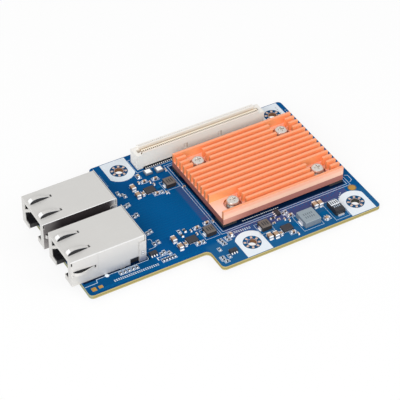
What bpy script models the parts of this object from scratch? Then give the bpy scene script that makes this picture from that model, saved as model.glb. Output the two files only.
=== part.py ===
"""A mezzanine network card for a server, lying flat with its parts upwards.

A notched circuit board carries two shielded network ports, a board-to-board
connector, and a finned heatsink that four spring screws hold down on the controller.

Units are metres and +Z is up. Places are measured from the front left corner of the
board's full rectangle, at the level of its top face, unless a function says otherwise.
"""

from math import cos, pi, radians, sin, sqrt

import bmesh
import bpy
from mathutils import Vector

# Circuit board: a rectangle with a notch at each left corner
BOARD_LENGTH = 0.1100
BOARD_WIDTH = 0.0680
BOARD_THICKNESS = 0.0016
BOARD_CORNER_RADIUS = 0.0015
FRONT_NOTCH_LENGTH = 0.0454
FRONT_NOTCH_DEPTH = 0.0098
BACK_NOTCH_LENGTH = 0.0284
BACK_NOTCH_DEPTH = 0.0062
NOTCH_FILLET_RADIUS = 0.0020
MOUNT_HOLE_DIAMETER = 0.0032
MOUNT_HOLE_SIDE_INSET = 0.0061
MOUNT_HOLE_END_INSET = 0.0069
FRONT_MOUNT_HOLE_X = 0.06035
BACK_MOUNT_HOLE_X = 0.03785

# What every piece keeps to its neighbours
SEAT_GAP = 0.0001
FIT_GAP = 0.00015
DRILL_GAP = 0.0002
UNDERSIDE_REACH = 0.0015
PIN_REACH = 0.0010

# Network ports, each measured from the middle of its front face
PORT_WIDTH = 0.0170
PORT_LENGTH = 0.02805
PORT_HEIGHT = 0.0112
PORT_OVERHANG = 0.00345
PORT_PITCH = 0.0210
PORT_PAIR_OFFSET = 0.00183
SHEET_THICKNESS = 0.00025
PORT_OPENING_WIDTH = 0.0120
PORT_OPENING_FLOOR = 0.0021
PORT_OPENING_TOP = 0.0098
PORT_CAVITY_DEPTH = 0.0140
KEYWAY_WIDTH = 0.0068
KEYWAY_DEPTH = 0.0105
FINGER_START = 0.0007
FINGER_LENGTH = 0.0080
FINGER_RISE = 0.0013
FINGER_SLOT = 0.00035
FINGER_WINDOW = 0.0006
FINGER_SNAP = 0.6
FINGER_TAPER = 0.5
TOP_FINGER_WIDTH = 0.0018
TOP_FINGER_SPREAD = 0.0081
SIDE_FINGER_WIDTH = 0.0014
SIDE_FINGER_HEIGHT = 0.0056
RELIEF_LENGTH = 0.0006
RELIEF_BOTTOM = 0.0092
RELIEF_TOP = 0.0107
GROUND_SPRING_LENGTH = 0.0065
GROUND_SPRING_WIDTH = 0.0014
GROUND_SPRING_HEIGHT = 0.0064
GROUND_SPRING_RISE = 0.0011
GROUND_TAB_X = 0.0190
GROUND_TAB_WIDTH = 0.0016
REAR_CUTOUT_START = 0.0221
REAR_CUTOUT_LENGTH = 0.0033
REAR_CUTOUT_HEIGHT = 0.0025
REAR_TAB_LENGTH = 0.0026
REAR_TAB_HEIGHT = 0.0089
PEG_X = 0.0110
PEG_SPREAD = 0.01143
PEG_DIAMETER = 0.0030
PEG_TIP_CHAMFER = 0.0004

# Spring contacts inside each port
CONTACT_COUNT = 8
CONTACT_PITCH = 0.00102
CONTACT_THICKNESS = 0.0003
CONTACT_FRONT_X = 0.0016
CONTACT_TIP_X = 0.0126
CONTACT_TIP_DROP = 0.0022
CONTACT_BEND_RADIUS = 0.00035
CARRIER_LENGTH = 0.0012
CARRIER_WIDTH = 0.0106
CARRIER_FOOT_HEIGHT = 0.0010
PIN_PITCH = 0.00127
PIN_ROW_SPREAD = 0.00254
PIN_SIZE = 0.0005

# Board-to-board connector
CONNECTOR_X = 0.04388
CONNECTOR_Y = 0.05884
CONNECTOR_LENGTH = 0.05346
CONNECTOR_WIDTH = 0.00522
CONNECTOR_HEIGHT = 0.00735
TAIL_RELIEF_HEIGHT = 0.0007
TAIL_RELIEF_DEPTH = 0.0006
END_BLOCK_LENGTH = 0.0024
END_BLOCK_HEIGHT = 0.00634
CONNECTOR_WALL = 0.0018
TROUGH_FLOOR = 0.0021
TROUGH_END_WALL = 0.0013
RIM_CHAMFER = 0.0002
CELL_ROW_INSET = 0.0026
CELL_PITCH = 0.0008
CELL_LENGTH = 0.00045
CELL_WIDTH = 0.0005
CELL_INSET = 0.0009
CELL_DEPTH = 0.0008
TAIL_WIDTH = 0.0003
TAIL_REACH = 0.0009
TAIL_THICKNESS = 0.0002
CONNECTOR_PEG_DIAMETER = 0.0012
CONNECTOR_PEG_INSET = 0.0013
END_POCKET_SIDE = 0.0006
END_POCKET_DEPTH = 0.0008
EJECTOR_MARK_INSETS = (0.0201, 0.0190)
EJECTOR_MARK_WIDTH = 0.0012
EJECTOR_MARK_SPAN = (0.0026, 0.0047)
EJECTOR_MARK_DEPTH = 0.00015

# Heatsink and what clamps it
HEATSINK_X = 0.0802
HEATSINK_Y = 0.03545
HEATSINK_LENGTH = 0.0496
BASE_BOTTOM = 0.0012
BASE_THICKNESS = 0.0024
FIN_COUNT = 15
FIN_PITCH = 0.00252
FIN_THICKNESS = 0.00105
FIN_HEIGHT = 0.0034
SCREW_SPACING_X = 0.0351
SCREW_SPACING_Y = 0.02445
POCKET_LENGTH = 0.0070
POCKET_WIDTH = 0.0076
POCKET_STEP = 0.00005
COUNTERBORE_DIAMETER = 0.0066
COUNTERBORE_DEPTH = 0.0014
SCREW_HOLE_DIAMETER = 0.0030
SCREW_DIAMETER = 0.0025
SCREW_HEAD_DIAMETER = 0.00465
SCREW_HEAD_HEIGHT = 0.0010
CROSS_LENGTH = 0.0025
CROSS_WIDTH = 0.0006
CROSS_DEPTH = 0.0006
SPRING_DIAMETER = 0.0047
SPRING_WIRE = 0.00045
SPRING_LENGTH = 0.0024
SPRING_TURNS = 3.5
NUT_ACROSS_FLATS = 0.0050
THREAD_GAP = 0.0001
CHIP_SIDE = 0.0250
CHIP_THICKNESS = 0.0008
PAD_GAP = 0.00005
FOAM_SIDE = 0.0054

# Board components: middle of each one on the board
INDUCTOR_LENGTH = 0.0037
INDUCTOR_WIDTH = 0.0039
INDUCTOR_HEIGHT = 0.0020
INDUCTOR_PLACES = ((0.0501, 0.0464), (0.0499, 0.0174), (0.0680, 0.0104))
FILTER_INDUCTOR_LENGTH = 0.0063
FILTER_INDUCTOR_WIDTH = 0.0065
FILTER_INDUCTOR_HEIGHT = 0.0025
FILTER_INDUCTOR_PLACE = (0.0833, 0.0060)
REGULATOR_LENGTH = 0.0039
REGULATOR_WIDTH = 0.0030
REGULATOR_HEIGHT = 0.0008
REGULATOR_PLACES = ((0.0424, 0.0469), (0.0427, 0.0171), (0.0744, 0.0061))
MOLDED_LENGTH = 0.0040
MOLDED_WIDTH = 0.0062
MOLDED_HEIGHT = 0.0020
MOLDED_TAB_WIDTH = 0.0024
MOLDED_TAB_REACH = 0.0006
MOLDED_PLACE = (0.0948, 0.00605)
SMALL_IC_LENGTH = 0.0029
SMALL_IC_WIDTH = 0.0016
SMALL_IC_HEIGHT = 0.0011
SMALL_IC_PLACES = ((0.0522, 0.0052, 0), (0.0755, 0.0144, 90), (0.0277, 0.0174, 0))
LEG_WIDTH = 0.0004
LEG_PITCH = 0.00095
LEG_REACH = 0.0006
LEG_THICKNESS = 0.0002
CRYSTAL_LENGTH = 0.0028
CRYSTAL_WIDTH = 0.0025
CRYSTAL_HEIGHT = 0.0010
CRYSTAL_PLACES = ((0.0464, 0.0556), (0.0506, 0.0550))
CAPACITOR_LENGTH = 0.0026
CAPACITOR_WIDTH = 0.0016
CAPACITOR_HEIGHT = 0.0013
CAPACITOR_PLACES = (
    (0.0376, 0.0506), (0.0374, 0.0463), (0.0372, 0.0200), (0.0375, 0.0157),
    (0.0670, 0.0052), (0.0693, 0.0048), (0.0893, 0.0112), (0.0913, 0.0110),
)
BYPASS_LENGTH = 0.0016
BYPASS_WIDTH = 0.0009
BYPASS_HEIGHT = 0.0008
BYPASS_PLACES = ((0.0394, 0.0461), (0.0397, 0.0161), (0.0712, 0.0046), (0.0893, 0.0035))
EDGE_SOFTENING = 0.00012

# How round things are divided, and working lengths
ROUND_SIDES = 20
SMALL_SIDES = 12
WIRE_SIDES = 5
COIL_STEPS = 10
ARC_STEPS = 4
FINGER_STEPS = 6
OVERCUT = 0.0010
WELD = 1e-7

BASE_TOP = BASE_BOTTOM + BASE_THICKNESS
FIN_TOP = BASE_TOP + FIN_HEIGHT
HEATSINK_WIDTH = (FIN_COUNT - 1) * FIN_PITCH + FIN_THICKNESS
SPRING_SEAT = BASE_TOP - COUNTERBORE_DEPTH
HEAD_BOTTOM = SPRING_SEAT + SPRING_LENGTH + 2 * PAD_GAP
CELLS_PER_ROW = int((CONNECTOR_LENGTH - 2 * CELL_ROW_INSET) / CELL_PITCH)
UNDERSIDE = -BOARD_THICKNESS - UNDERSIDE_REACH


def clear_scene():
    """Remove every object that the file opened with."""
    for old in list(bpy.data.objects):
        bpy.data.objects.remove(old, do_unlink=True)


def finish(name, colour, roughness, metallic=0.0):
    """A plain material with one colour."""
    material = bpy.data.materials.new(name)
    material.use_nodes = True
    shader = material.node_tree.nodes["Principled BSDF"]
    shader.inputs["Base Color"].default_value = (*colour, 1.0)
    shader.inputs["Roughness"].default_value = roughness
    shader.inputs["Metallic"].default_value = metallic
    material.diffuse_color = (*colour, 1.0)
    return material


def circle(radius, sides, centre=(0.0, 0.0)):
    """Points around a circle, with a flat side towards +X."""
    angles = [2 * pi * (i + 0.5) / sides for i in range(sides)]
    return [(centre[0] + radius * cos(a), centre[1] + radius * sin(a)) for a in angles]


def rounded(corners):
    """An outline of square corners, given as (x, y, radius), each turned into an arc."""
    outline = []
    for i, (x, y, radius) in enumerate(corners):
        here = Vector((x, y))
        before = (Vector(corners[i - 1][:2]) - here).normalized()
        after = (Vector(corners[(i + 1) % len(corners)][:2]) - here).normalized()
        centre = here + (before + after) * radius
        for step in range(ARC_STEPS + 1):
            turn = pi / 2 * step / ARC_STEPS
            point = centre - (after * cos(turn) + before * sin(turn)) * radius
            outline.append((point.x, point.y))
    return outline


def prism(outline, span, along="Z"):
    """The solid that an outline sweeps between two positions along an axis."""
    order = {"X": (1, 2, 0), "Y": (0, 2, 1), "Z": (0, 1, 2)}[along]
    shape = bmesh.new()
    ends = []
    for position in span:
        ring = []
        for a, b in outline:
            place = [0.0, 0.0, 0.0]
            for axis, value in zip(order, (a, b, position)):
                place[axis] = value
            ring.append(shape.verts.new(place))
        ends.append(ring)
        shape.faces.new(ring)
    for i in range(len(outline)):
        quad = (ends[0][i - 1], ends[0][i], ends[1][i], ends[1][i - 1])
        shape.faces.new(quad)
    bmesh.ops.recalc_face_normals(shape, faces=shape.faces)
    return shape


def block(x, y, z):
    """A block between a low and a high position on each axis."""
    return prism(((x[0], y[0]), (x[1], y[0]), (x[1], y[1]), (x[0], y[1])), z)


def centred_block(length, width, z, centre=(0.0, 0.0)):
    """A block with its middle over a point."""
    x, y = centre
    return block((x - length / 2, x + length / 2), (y - width / 2, y + width / 2), z)


def cylinder(diameter, z, centre=(0.0, 0.0), sides=ROUND_SIDES):
    """An upright cylinder over a point."""
    return prism(circle(diameter / 2, sides, centre), z)


def lathe(profile, sides=ROUND_SIDES):
    """A profile of (radius, height) points, from axis to axis, turned about Z."""
    shape = bmesh.new()
    points = [shape.verts.new((radius, 0, height)) for radius, height in profile]
    lines = [shape.edges.new(pair) for pair in zip(points, points[1:])]
    bmesh.ops.spin(
        shape, geom=points + lines, cent=(0, 0, 0), axis=(0, 0, 1),
        angle=2 * pi, steps=sides, use_merge=True,
    )
    bmesh.ops.remove_doubles(shape, verts=shape.verts, dist=WELD)
    bmesh.ops.recalc_face_normals(shape, faces=shape.faces)
    return shape


def mesh_of(shape, name="shape"):
    """Turn a working shape into mesh data and free the working copy."""
    mesh = bpy.data.meshes.new(name)
    shape.to_mesh(mesh)
    shape.free()
    return mesh


def joined(shapes):
    """Several shapes in one mesh, still separate bodies."""
    together = bmesh.new()
    for shape in shapes:
        mesh = mesh_of(shape)
        together.from_mesh(mesh)
        bpy.data.meshes.remove(mesh)
    return together


def combined(base, operation, tools):
    """The base shape with tools that don't overlap each other added or cut away."""
    pair = []
    for shape in (base, joined(tools)):
        working = bpy.data.objects.new("working", mesh_of(shape))
        bpy.context.scene.collection.objects.link(working)
        pair.append(working)
    modifier = pair[0].modifiers.new("combine", "BOOLEAN")
    modifier.operation = operation
    modifier.solver = "EXACT"
    modifier.object = pair[1]
    result = bmesh.new()
    result.from_object(pair[0], bpy.context.evaluated_depsgraph_get())
    for working in pair:
        mesh = working.data
        bpy.data.objects.remove(working)
        bpy.data.meshes.remove(mesh)
    return result


def cut(base, tools):
    """The base shape without what the tools cover."""
    return combined(base, "DIFFERENCE", tools)


def fused(base, tools):
    """The base shape with the tools joined to it as one body."""
    return combined(base, "UNION", tools)


def place_part(name, shape, material, place, carrier, turn=0.0):
    """Make one named part out of a shape and stand it on the board."""
    mesh = mesh_of(shape, name)
    mesh.materials.append(material)
    mesh.shade_smooth()
    mesh.set_sharp_from_angle(angle=radians(35))
    part = bpy.data.objects.new(name, mesh)
    part.parent = carrier
    part.location = place
    part.rotation_euler.z = radians(turn)
    bpy.context.scene.collection.objects.link(part)
    return part


def soften(part, width=EDGE_SOFTENING):
    """Chamfer the edges of a moulded or fired piece."""
    bevel = part.modifiers.new("soft edges", "BEVEL")
    bevel.width = width
    bevel.segments = 1
    bevel.limit_method = "ANGLE"
    bevel.angle_limit = radians(50)


# Places that several parts share

def mount_hole_places():
    """Middles of the four holes that the card is screwed down by."""
    right = BOARD_LENGTH - MOUNT_HOLE_END_INSET
    back = BOARD_WIDTH - MOUNT_HOLE_SIDE_INSET
    front = MOUNT_HOLE_SIDE_INSET
    return (FRONT_MOUNT_HOLE_X, front), (right, front), (right, back), (BACK_MOUNT_HOLE_X, back)


def screw_places():
    """Middles of the four spring screws, about the middle of the heatsink."""
    x, y = SCREW_SPACING_X / 2, SCREW_SPACING_Y / 2
    signs = ((-1, -1), (1, -1), (-1, 1), (1, 1))
    return [(HEATSINK_X + a * x, HEATSINK_Y + b * y) for a, b in signs]


def port_places():
    """Middles of the two ports' front faces, a little behind the middle of the board."""
    middle = BOARD_WIDTH / 2 + PORT_PAIR_OFFSET
    return [(-PORT_OVERHANG, middle + side * PORT_PITCH / 2) for side in (-1, 1)]


def carrier_x():
    """Middle of a port's contact carrier, behind the port's cavity."""
    return PORT_CAVITY_DEPTH + 2 * FIT_GAP + PIN_ROW_SPREAD / 2


def pin_places():
    """Solder pins of one port, in two staggered rows."""
    places = []
    for i in range(CONTACT_COUNT):
        side = 1 if i % 2 else -1
        y = (i - (CONTACT_COUNT - 1) / 2) * PIN_PITCH
        places.append((carrier_x() + side * PIN_ROW_SPREAD / 2, y))
    return places


def connector_peg_places():
    """Locating pegs under the two ends of the board-to-board connector."""
    y = CONNECTOR_WIDTH / 2
    return (CONNECTOR_PEG_INSET, y), (CONNECTOR_LENGTH - CONNECTOR_PEG_INSET, y)


# Circuit board

def board_holes():
    """Everything that is drilled or milled through the board."""
    z = (-BOARD_THICKNESS - OVERCUT, OVERCUT)
    holes = [cylinder(MOUNT_HOLE_DIAMETER, z, place) for place in mount_hole_places()]
    for place in screw_places():
        holes.append(cylinder(SCREW_HOLE_DIAMETER, z, place, SMALL_SIDES))
    for x, y in connector_peg_places():
        place = (CONNECTOR_X + x, CONNECTOR_Y + y)
        drill = CONNECTOR_PEG_DIAMETER + 2 * DRILL_GAP
        holes.append(cylinder(drill, z, place, SMALL_SIDES))
    for port_x, port_y in port_places():
        for side in (-1, 1):
            peg = (port_x + PEG_X, port_y + side * PEG_SPREAD / 2)
            holes.append(cylinder(PEG_DIAMETER + 2 * DRILL_GAP, z, peg, SMALL_SIDES))
            tab_y = port_y + side * (PORT_WIDTH - SHEET_THICKNESS) / 2
            length = GROUND_TAB_WIDTH + 2 * DRILL_GAP
            width = SHEET_THICKNESS + 2 * DRILL_GAP
            slot = centred_block(length, width, z, (port_x + GROUND_TAB_X, tab_y))
            holes.append(slot)
        for x, y in pin_places():
            drill = PIN_SIZE * sqrt(2) + DRILL_GAP
            holes.append(cylinder(drill, z, (port_x + x, port_y + y), SMALL_SIDES // 2))
    return holes


def circuit_board():
    """The notched board with all its holes."""
    corner = BOARD_CORNER_RADIUS
    back_left = BOARD_WIDTH - BACK_NOTCH_DEPTH
    outline = rounded((
        (0.0, FRONT_NOTCH_DEPTH, corner),
        (FRONT_NOTCH_LENGTH, FRONT_NOTCH_DEPTH, NOTCH_FILLET_RADIUS),
        (FRONT_NOTCH_LENGTH, 0.0, corner),
        (BOARD_LENGTH, 0.0, corner),
        (BOARD_LENGTH, BOARD_WIDTH, corner),
        (BACK_NOTCH_LENGTH, BOARD_WIDTH, corner),
        (BACK_NOTCH_LENGTH, back_left, NOTCH_FILLET_RADIUS),
        (0.0, back_left, corner),
    ))
    return cut(prism(outline, (-BOARD_THICKNESS, 0.0)), board_holes())


# Network ports: x runs back from the front face, y across, z up from the board

class Sheet:
    """The outer face of a folded sheet, drawn as panels that share their fold lines."""

    def __init__(self):
        self.shape = bmesh.new()
        self.known = {}

    def vertex(self, place):
        """The vertex at a place, made once and shared by all panels."""
        key = tuple(round(value / WELD) for value in place)
        if key not in self.known:
            self.known[key] = self.shape.verts.new(place)
        return self.known[key]

    def panel(self, across, along, place, holes=()):
        """Fill the cells between two sets of lines, apart from those inside a hole."""
        for a, b in zip(across, across[1:]):
            for c, d in zip(along, along[1:]):
                middle = ((a + b) / 2, (c + d) / 2)
                if any(inside(middle, hole) for hole in holes):
                    continue
                corners = [place(u, v) for u, v in ((a, c), (b, c), (b, d), (a, d))]
                self.shape.faces.new([self.vertex(corner) for corner in corners])

    def finished(self):
        """The sheet as one open surface facing out, with its flat cells merged."""
        bmesh.ops.recalc_face_normals(self.shape, faces=self.shape.faces)
        highest = max(self.shape.faces, key=lambda face: face.calc_center_median().z)
        if highest.normal.z < 0:
            bmesh.ops.reverse_faces(self.shape, faces=self.shape.faces)
        bmesh.ops.dissolve_limit(
            self.shape, angle_limit=radians(1), verts=self.shape.verts, edges=self.shape.edges
        )
        return self.shape


def inside(point, hole):
    """Whether a point lies in a hole given as its two ranges."""
    return all(low < value < high for value, (low, high) in zip(point, hole))


def lines(*values):
    """Grid lines in order, each once."""
    ordered = sorted(values)
    kept = [ordered[0]]
    for value in ordered[1:]:
        if value - kept[-1] > WELD:
            kept.append(value)
    return kept


def stations(start, length, steps, snap=1.0):
    """Lines along a stretch, closer at its start when snap is under 1."""
    return [start + length * (i / steps) ** (1 / snap) for i in range(steps + 1)]


def bow(position, start, length, rise, snap=1.0):
    """How far a sprung strip stands off its sheet; a snap under 1 lifts it sooner."""
    share = (position - start) / length
    return rise * sin(pi * share ** snap) if 0 < share < 1 else 0.0


def narrowed(value, low, high, position, window):
    """A place across a finger, drawn in towards its middle along to the window's far edge."""
    share = (position - FINGER_START) / (window[1] - FINGER_START)
    if not (low - FINGER_SLOT - WELD < value < high + FINGER_SLOT + WELD and 0 < share < 1 + WELD):
        return value
    middle = (low + high) / 2
    return middle + (value - middle) * (1 - (1 - FINGER_TAPER) * share)


def port_shell():
    """The folded shield: front frame, top and sides with sprung fingers, ground tabs."""
    half = PORT_WIDTH / 2
    bottom, top = SEAT_GAP, PORT_HEIGHT
    rear = PORT_LENGTH - SHEET_THICKNESS - FIT_GAP
    opening, keyway = PORT_OPENING_WIDTH / 2, KEYWAY_WIDTH / 2
    tab_low = -BOARD_THICKNESS - PIN_REACH
    finger = (FINGER_START, FINGER_START + FINGER_LENGTH)
    window = (finger[1], finger[1] + FINGER_WINDOW)
    tab = (GROUND_TAB_X - GROUND_TAB_WIDTH / 2, GROUND_TAB_X + GROUND_TAB_WIDTH / 2)
    cutout = (REAR_CUTOUT_START, REAR_CUTOUT_START + REAR_CUTOUT_LENGTH)
    side = (SIDE_FINGER_HEIGHT - SIDE_FINGER_WIDTH / 2, SIDE_FINGER_HEIGHT + SIDE_FINGER_WIDTH / 2)
    band = (
        GROUND_SPRING_HEIGHT - GROUND_SPRING_WIDTH / 2,
        GROUND_SPRING_HEIGHT + GROUND_SPRING_WIDTH / 2,
    )
    top_fingers = []
    for centre in (-TOP_FINGER_SPREAD / 2, TOP_FINGER_SPREAD / 2):
        top_fingers.append((centre - TOP_FINGER_WIDTH / 2, centre + TOP_FINGER_WIDTH / 2))

    finger_bow = (FINGER_START, FINGER_LENGTH, FINGER_RISE, FINGER_SNAP)
    run = stations(FINGER_START, FINGER_LENGTH, FINGER_STEPS, FINGER_SNAP)
    xs = lines(0.0, RELIEF_LENGTH, *run, window[1], *tab, *cutout, rear)
    ys = [-half, -opening, -keyway, keyway, opening, half]
    for low, high in top_fingers:
        ys += [low - FINGER_SLOT, low, high, high + FINGER_SLOT]
    ys = lines(*ys)
    zs = lines(
        bottom, REAR_CUTOUT_HEIGHT, PORT_OPENING_FLOOR, side[0] - FINGER_SLOT, side[0],
        side[1], side[1] + FINGER_SLOT, *band, RELIEF_BOTTOM, PORT_OPENING_TOP, RELIEF_TOP, top,
    )

    def top_place(x, y):
        low, high = top_fingers[0] if y < 0 else top_fingers[1]
        stand = bow(x, *finger_bow) if low - WELD < y < high + WELD else 0.0
        return x, narrowed(y, low, high, x, window), top + stand

    def side_place(sign):
        def place(x, z):
            stand = bow(x, *finger_bow) if side[0] - WELD < z < side[1] + WELD else 0.0
            return x, sign * (half + stand), narrowed(z, *side, x, window)
        return place

    def band_place(sign):
        def place(x, z):
            return x, sign * (opening - bow(x, 0.0, GROUND_SPRING_LENGTH, GROUND_SPRING_RISE)), z
        return place

    def finger_holes(low, high):
        """A slot along each side of a finger and a window behind its free end."""
        slots = [(finger, (low - FINGER_SLOT, low)), (finger, (high, high + FINGER_SLOT))]
        return [*slots, (window, (low - FINGER_SLOT, high + FINGER_SLOT))]

    sheet = Sheet()
    sheet.panel(xs, ys, top_place, [hole for edges in top_fingers for hole in finger_holes(*edges)])
    side_holes = [
        *finger_holes(*side),
        ((0.0, RELIEF_LENGTH), (RELIEF_BOTTOM, RELIEF_TOP)),
        (cutout, (bottom, REAR_CUTOUT_HEIGHT)),
    ]
    for sign in (-1, 1):
        sheet.panel(xs, zs, side_place(sign), side_holes)
        sheet.panel(tab, (tab_low, bottom), side_place(sign))
        stretch = stations(0.0, GROUND_SPRING_LENGTH, 4)
        sheet.panel(stretch, [z for z in zs if band[0] - WELD < z < band[1] + WELD], band_place(sign))
    front_holes = [
        ((-opening, opening), (PORT_OPENING_FLOOR, PORT_OPENING_TOP)),
        ((-keyway, keyway), (bottom, PORT_OPENING_FLOOR)),
    ]
    sheet.panel(ys, zs, lambda y, z: (0.0, y, z), front_holes)
    return sheet.finished()


def port_rear_cover():
    """The folded cover behind a port, with a tab that grips each side of the shield."""
    half = PORT_WIDTH / 2 + FIT_GAP + SHEET_THICKNESS
    front = PORT_LENGTH - REAR_TAB_LENGTH
    zs = (SEAT_GAP, REAR_TAB_HEIGHT, PORT_HEIGHT)
    sheet = Sheet()
    sheet.panel((-half, half), zs, lambda y, z: (PORT_LENGTH, y, z))
    for sign in (-1, 1):
        sheet.panel((front, PORT_LENGTH), zs[:2], lambda x, z, s=sign: (x, s * half, z))
    return sheet.finished()


def port_insert():
    """The moulded body inside a port: plug cavity, latch keyway, contact slot and pegs."""
    step = SHEET_THICKNESS + FIT_GAP
    half = PORT_WIDTH / 2 - step
    front, rear = step, PORT_LENGTH - 2 * step
    bottom, roof = 2 * SEAT_GAP, PORT_HEIGHT - step
    body = block((front, rear), (-half, half), (bottom, roof))
    cavity = PORT_OPENING_WIDTH + 2 * step
    slot_length = CARRIER_LENGTH + 2 * FIT_GAP
    slot_width = CARRIER_WIDTH + 2 * FIT_GAP
    foot_length = PIN_ROW_SPREAD + 2 * PIN_SIZE + 2 * FIT_GAP
    foot_top = CARRIER_FOOT_HEIGHT + 2 * SEAT_GAP + FIT_GAP
    comb_width = CONTACT_COUNT * CONTACT_PITCH
    middle = carrier_x()
    roof_line = PORT_OPENING_TOP - FIT_GAP
    tools = (
        block(
            (front - OVERCUT, PORT_CAVITY_DEPTH), (-cavity / 2, cavity / 2),
            (PORT_OPENING_FLOOR, PORT_OPENING_TOP),
        ),
        block(
            (front - OVERCUT, KEYWAY_DEPTH), (-KEYWAY_WIDTH / 2, KEYWAY_WIDTH / 2),
            (bottom - OVERCUT, PORT_OPENING_FLOOR + OVERCUT),
        ),
        centred_block(slot_length, slot_width, (bottom - OVERCUT, roof_line), (middle, 0.0)),
        centred_block(foot_length, slot_width, (bottom - OVERCUT, foot_top), (middle, 0.0)),
        block(
            (PORT_CAVITY_DEPTH - OVERCUT, middle), (-comb_width / 2, comb_width / 2),
            (roof_line - 4 * CONTACT_THICKNESS, roof_line),
        ),
    )
    for tool in tools:
        body = cut(body, [tool])
    pegs = []
    for side in (-1, 1):
        peg = lathe((
            (0.0, UNDERSIDE), (PEG_DIAMETER / 2 - PEG_TIP_CHAMFER, UNDERSIDE),
            (PEG_DIAMETER / 2, UNDERSIDE + PEG_TIP_CHAMFER),
            (PEG_DIAMETER / 2, PORT_OPENING_FLOOR / 2), (0.0, PORT_OPENING_FLOOR / 2),
        ), SMALL_SIDES)
        bmesh.ops.translate(peg, vec=(PEG_X, side * PEG_SPREAD / 2, 0.0), verts=peg.verts)
        pegs.append(peg)
    return fused(body, pegs)


def ribbon(path, thickness):
    """The outline of a strip of even thickness along a path of (x, z) points."""
    left, right = [], []
    for i, point in enumerate(path):
        here = Vector(point)
        ways = []
        if i > 0:
            ways.append((here - Vector(path[i - 1])).normalized())
        if i < len(path) - 1:
            ways.append((Vector(path[i + 1]) - here).normalized())
        along = sum(ways, Vector((0.0, 0.0))).normalized()
        across = Vector((-along.y, along.x)) * (thickness / 2 / along.dot(ways[0]))
        left.append(tuple(here + across))
        right.append(tuple(here - across))
    return left + right[::-1]


def port_contacts():
    """Eight sprung contacts on one carrier, with their solder pins below."""
    middle = carrier_x()
    bottom = 3 * SEAT_GAP
    wire_z = PORT_OPENING_TOP - 2 * FIT_GAP - CONTACT_THICKNESS
    carrier_top = wire_z + CONTACT_THICKNESS / 2
    plate = centred_block(CARRIER_LENGTH, CARRIER_WIDTH, (bottom, carrier_top), (middle, 0.0))
    foot_length = PIN_ROW_SPREAD + 2 * PIN_SIZE
    foot_top = bottom + CARRIER_FOOT_HEIGHT
    foot = centred_block(foot_length, CARRIER_WIDTH, (bottom, foot_top), (middle, 0.0))
    bend = CONTACT_FRONT_X + CONTACT_BEND_RADIUS
    path = [(middle, wire_z - SEAT_GAP)]
    for step in range(ARC_STEPS + 1):
        turn = pi * step / ARC_STEPS
        x = bend - CONTACT_BEND_RADIUS * sin(turn)
        path.append((x, wire_z - SEAT_GAP - CONTACT_BEND_RADIUS * (1 - cos(turn))))
    path.append((CONTACT_TIP_X, wire_z - CONTACT_TIP_DROP))
    outline = ribbon(path, CONTACT_THICKNESS)
    wires = []
    for i in range(CONTACT_COUNT):
        y = (i - (CONTACT_COUNT - 1) / 2) * CONTACT_PITCH
        wires.append(prism(outline, (y - CONTACT_THICKNESS / 2, y + CONTACT_THICKNESS / 2), "Y"))
    low = -BOARD_THICKNESS - PIN_REACH
    high = (bottom + foot_top) / 2
    pins = [centred_block(PIN_SIZE, PIN_SIZE, (low, high), place) for place in pin_places()]
    return fused(fused(fused(plate, [foot]), wires), pins)


# Board-to-board connector: x along it and y across it, from its front left corner

def cell_x(index):
    """Where a contact cell lies along the connector, which they share out evenly."""
    return CONNECTOR_LENGTH / 2 + (index - (CELLS_PER_ROW - 1) / 2) * CELL_PITCH


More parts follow.
